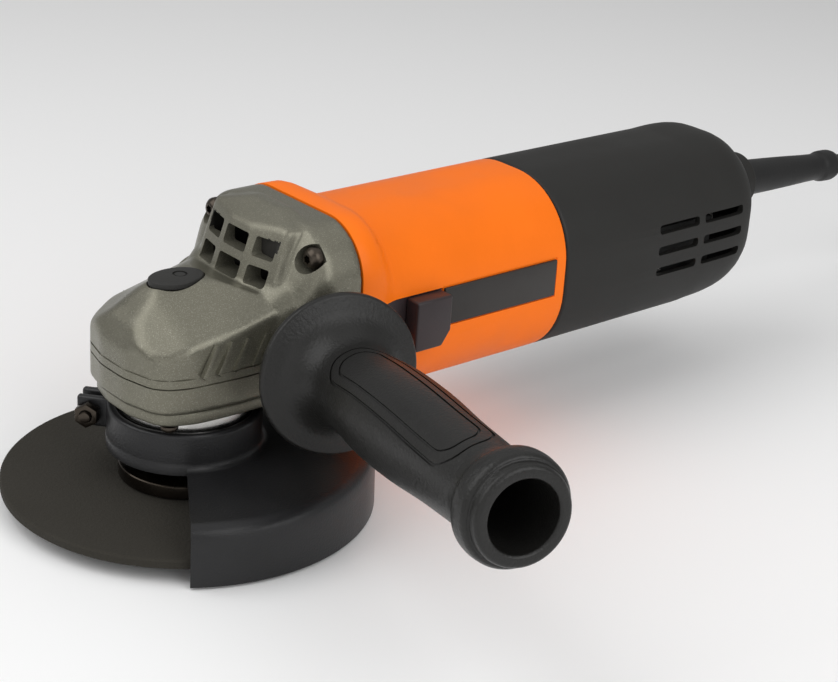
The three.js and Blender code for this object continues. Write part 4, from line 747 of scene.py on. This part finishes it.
# ---- Motor, gears and switch gear inside ---------------------------------------------------
# The parts inside the housing keep their shapes: ground steel shaft and bearings, varnished
# copper coils, stacked sheet cores, brass brush boxes and a nylon fan.
copper = surface("varnished_copper", (0.42, 0.17, 0.07), 0.32, metallic=0.85, shade=0.7, grain=900,
                 bump=0.3)
sheets = surface("stacked_sheets", (0.16, 0.165, 0.17), 0.45, metallic=0.8, shade=0.6, grain=1400, bump=0.3)
brass = surface("plain_brass", (0.55, 0.4, 0.16), 0.3, metallic=0.95, shade=0.75, grain=600, bump=0.06)
carbon = surface("pressed_carbon", (0.02, 0.02, 0.021), 0.75, grain=1500, bump=0.2)
moulded_black = surface("moulded_black", (0.022, 0.022, 0.021), 0.55, grain=1200, bump=0.15)
pale_plastic = surface("pale_plastic", (0.6, 0.58, 0.53), 0.5, grain=900, bump=0.08)
INSIDE = {
    turned_steel: ["spindle_lock_spring", "spindle_bearing_outer", "spindle_bearing_inner", "pinion_gear",
                   "armature_shaft", "armature_bearing_front_outer", "armature_bearing_front_inner",
                   "armature_bearing_rear_outer", "armature_bearing_rear_inner", "switch_rod",
                   "side_handle_stud"],
    dark_oxide: ["bearing_retainer", "driven_gear", "rear_cover_screw"],
    copper: ["armature_winding_front", "armature_winding_rear", "commutator", "field_coil_upper",
             "field_coil_lower"],
    sheets: ["armature_core", "stator_core"],
    brass: ["spindle_top_bush", "brush_holder_left", "brush_holder_right"],
    carbon: ["carbon_brush_left", "carbon_brush_right"],
    moulded_black: ["fan_baffle", "cooling_fan", "switch_body"],
    pale_plastic: ["cord_clamp"],
}
for material, names in INSIDE.items():
    for name in names:
        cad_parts[name].data.materials.clear()
        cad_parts[name].data.materials.append(material)

# ---- Rear cover ----------------------------------------------------------------------------
# The black moulded tail over the brushes and the switch, closed by one screw from below. Six
# slots on each side let cooling air in, and a short round snout on its flat end
# holds the cord guard.
matte_black = surface("matte_black", (0.0135, 0.013, 0.0115), 0.55, shade=0.85, grain=1500,
                      bump=0.12, uneven=0.05)
TAIL_END = 237.8
TAIL_START = 204.8
SNOUT_END = 253.8
SNOUT_HEIGHT = 62


def tail_rings(inset, start, end):
    """Rings from the parting line back to the flat end wall, all drawn in by a wall's thickness."""
    rings = [(start, 31.4 - inset, 31.9 - inset, AXIS, 27 - inset),
             (TAIL_START, 31.2 - inset, 31.7 - inset, AXIS, 27 - inset)]
    for step in range(1, 15):
        share = step / 14
        shrink = (1 - (share * 0.9) ** 4.5) ** 0.5
        wide, tall = (31.2 - inset) * shrink, (31.6 - inset) * shrink
        rings.append((TAIL_START + (end - TAIL_START) * share, wide, tall, AXIS + 1.5 * share,
                      min(wide, tall) * 0.87))
    return rings


cover = skinned("tail_cover", [(132.8, 30.6, 31.1, AXIS, 26.2), (133.6, 31.4, 31.9, AXIS, 27)]
                + tail_rings(0, 136, TAIL_END)[1:])
round_edges(cover, 2.2, 4, 35)
combine(cover, skinned("tail_room", tail_rings(2.2, 130, TAIL_END - 2.2)), "DIFFERENCE")
snout = [at(r, y, SNOUT_HEIGHT) for r, y in [(0, 236.5), (13, 236.5), (13, 237.9), (11, 240),
                                             (10.6, 253.2), (10, SNOUT_END), (0, SNOUT_END)]]
combine(cover, spun("snout", soften(snout, 0.0015, 4), at(0, 236, SNOUT_HEIGHT), (0, 1, 0), 64),
        "UNION")
for side in (1, -1):
    for height in (64.7, 56.8, 48.9):
        for start, end in ((178.5, 199), (202, 223)):
            slot = cube("slot", (min(side * 20, side * 40), start, height - 1.65),
                        (max(side * 20, side * 40), end, height + 1.65))
            round_edges(slot, 1.1, 3)
            combine(cover, slot, "DIFFERENCE")
combine(cover, bore("cord_mouth", 8.6, 220, 260, 0, SNOUT_HEIGHT), "DIFFERENCE")
combine(cover, well("screw_hole", 2.2, 0, 40, 0, 179.5, 24), "DIFFERENCE")
fit(cover, "housing", matte_black, "rear_cover", smooth=32)

# ---- Switch slider and label plate ---------------------------------------------------------
# A plain plastic thumb slider that runs forward in its recess and drives the rod to the switch.
# A thin sheet of the same dark plastic on the recess floor is painted shade for the recess, and a plain
# dark label plate lies behind it.
slider_line = [(62.5, 47), (73.5, 47), (77, 52), (77, 64), (62.5, 64)]
slider = plate("thumb_slider", [at(30.5, y, z) for y, z in slider_line], Vector((0.0062, 0, 0)))
round_edges(slider, 0.8, 3, 30)
combine(slider, cube("tongue", (28.3, 64, 47.6), (31.4, 74, 49.8)), "UNION")
plum_black = surface("plum_black", (0.04, 0.028, 0.03), 0.45, grain=1200, bump=0.1)
fit(slider, "switch", plum_black, "switch_slider")
# A thin dark sheet on the floor of the slider's recess: painted shade of the recess.
recess_painted_shade = cube("recess_painted_shade", (SIDE_FLOOR - 0.05, 53.3, 50.6), (SIDE_FLOOR + 0.22, 77.2, 64.2))
fit(recess_painted_shade, "housing", plum_black)

label = cube("label_plate", (30.85, 77.8, 51.3), (31.9, 127.5, 64.3))
round_edges(label, 0.4, 2)
label_black = surface("label_black", (0.028, 0.025, 0.023), 0.35, grain=500, bump=0.04)
fit(label, "housing", label_black, "name_plate")

# ---- Cord guard ----------------------------------------------------------------------------
# A soft black sleeve that stops the cord kinking: almost 60 mm of it stands out of the snout,
# and it tapers down to a small bead at its end.
soft_rubber = surface("soft_rubber", (0.013, 0.013, 0.013), 0.5, grain=900, bump=0.12)
DROOP = radians(3.5)
guard_foot = at(0, SNOUT_END - 3.5, SNOUT_HEIGHT)
GUARD_AXIS = Vector((0, cos(DROOP), -sin(DROOP)))
GUARD_UP = Vector((0, sin(DROOP), cos(DROOP)))
SLEEVE = [(-19.3, 0), (-19.3, 10.3), (-15.9, 10.3), (-15.9, 7), (4, 7), (10, 6.9), (22, 6.5), (34, 6),
          (44, 5.5), (50, 5.3), (52, 5.5), (53.6, 6.1), (55, 6.2), (59, 6.2), (61.4, 5.5), (62, 4.6),
          (62, 0)]
sleeve_line = [guard_foot + (GUARD_AXIS * s + GUARD_UP * r) / 1000 for s, r in SLEEVE]
cord_sleeve = spun("cord_sleeve", soften(sleeve_line, 0.0004, 2), guard_foot, GUARD_AXIS, 48)
fit(cord_sleeve, "housing", soft_rubber, "cord_guard", smooth=40)

# ---- Side handle ---------------------------------------------------------------------------
# A hollow moulded grip with a wide hand flange and a flared end, screwed into the gear housing
# on a steel stud. Its upper side has a long smooth panel inside two fine outlines.
grip_plastic = surface("grip_plastic", (0.011, 0.0107, 0.0098), 0.38, shade=0.8, grain=1000,
                       bump=0.45, uneven=0.08)
HUB = 39.3
RIM = HUB + 9.4


def eased(points, steps=6):
    """A flowing line through all the points given."""
    ends = [points[0]] + points + [points[-1]]
    line = []
    for a, b, c, d in zip(ends, ends[1:], ends[2:], ends[3:]):
        for step in range(steps):
            t = step / steps
            line.append(0.5 * (2 * b + (c - a) * t + (2 * a - 5 * b + 4 * c - d) * t * t
                               + (3 * b - a - 3 * c + d) * t ** 3))
    return line + [points[-1]]


hub_part = [(HUB + 37.4, 0), (HUB + 37.4, 4.3), (HUB, 4.3), (HUB, 10.6), (HUB + 3.6, 12), (RIM - 3, 22.6),
            (RIM - 0.4, 24.6), (RIM + 0.4, 25.3), (RIM + 2.2, 25.3), (RIM + 2.8, 24.6)]
front_part = [(RIM + 2.8, 24.6), (RIM + 3.4, 22.4), (RIM + 4.6, 19), (RIM + 7.2, 16), (RIM + 11, 13.9),
              (RIM + 16, 13.2), (RIM + 26, 13.8), (RIM + 38, 14.7), (RIM + 50, 14.8), (RIM + 62, 14.4),
              (RIM + 78, 13.3), (146, 12.6), (150, 12.5), (153.5, 13.1), (156.4, 15)]
end_part = [(156.4, 15), (157.6, 15.8), (160, 16), (163, 15.7), (164.1, 14.9), (164.2, 14), (166.8, 13.8),
            (167.6, 13), (167.6, 10.7), (167, 10.1), (124, 10.1), (123.6, 0)]
grip_line = (soften(handle_line(hub_part), 0.0008)[:-1] + eased(handle_line(front_part))[:-1]
             + soften(handle_line(end_part), 0.0007))
grip = spun("moulded_grip", grip_line, HANDLE_FOOT, HANDLE_AXIS, 128)

HANDLE_SIDE = HANDLE_AXIS.cross(HANDLE_UP)
PANEL_LIFT = radians(20)


def panel_outline(start, end, half, height):
    """A long closed outline with pointed-oval ends, laid above the grip and leaning to one side."""
    out = HANDLE_UP * cos(PANEL_LIFT) + HANDLE_SIDE * sin(PANEL_LIFT)
    across = HANDLE_SIDE * cos(PANEL_LIFT) - HANDLE_UP * sin(PANEL_LIFT)
    corners = [(start, -half * 0.55), (start, half * 0.55), (start + half * 0.6, half),
               (end - half * 0.6, half), (end, half * 0.55), (end, -half * 0.55),
               (end - half * 0.6, -half), (start + half * 0.6, -half)]
    loop = [HANDLE_FOOT + (HANDLE_AXIS * s + across * w + out * height) / 1000 for s, w in corners]
    return soften(loop[-1:] + loop + loop[:1], 0.003)[1:-1], out


GROOVE_DEPTH = 0.45
inner = [(s, r - GROOVE_DEPTH) for s, r in front_part]
inner = [(inner[0][0], 0)] + inner + [(inner[-1][0], 0)]
for start, end, half in ((RIM + 17, 146, 9.2), (RIM + 21, 142, 6.6)):
    rim_line, out = panel_outline(start, end, half + 0.35, 6)
    core_line, out = panel_outline(start + 0.7, end - 0.7, half - 0.35, 5)
    panel = plate("panel_groove", rim_line, out * 0.014)
    combine(panel, plate("panel_core", core_line, out * 0.016), "DIFFERENCE")
    combine(panel, spun("panel_floor", handle_line(inner), HANDLE_FOOT, HANDLE_AXIS, 96), "DIFFERENCE")
    combine(grip, panel, "DIFFERENCE")
fit(grip, "side_handle", grip_plastic, "side_handle_grip", smooth=35)
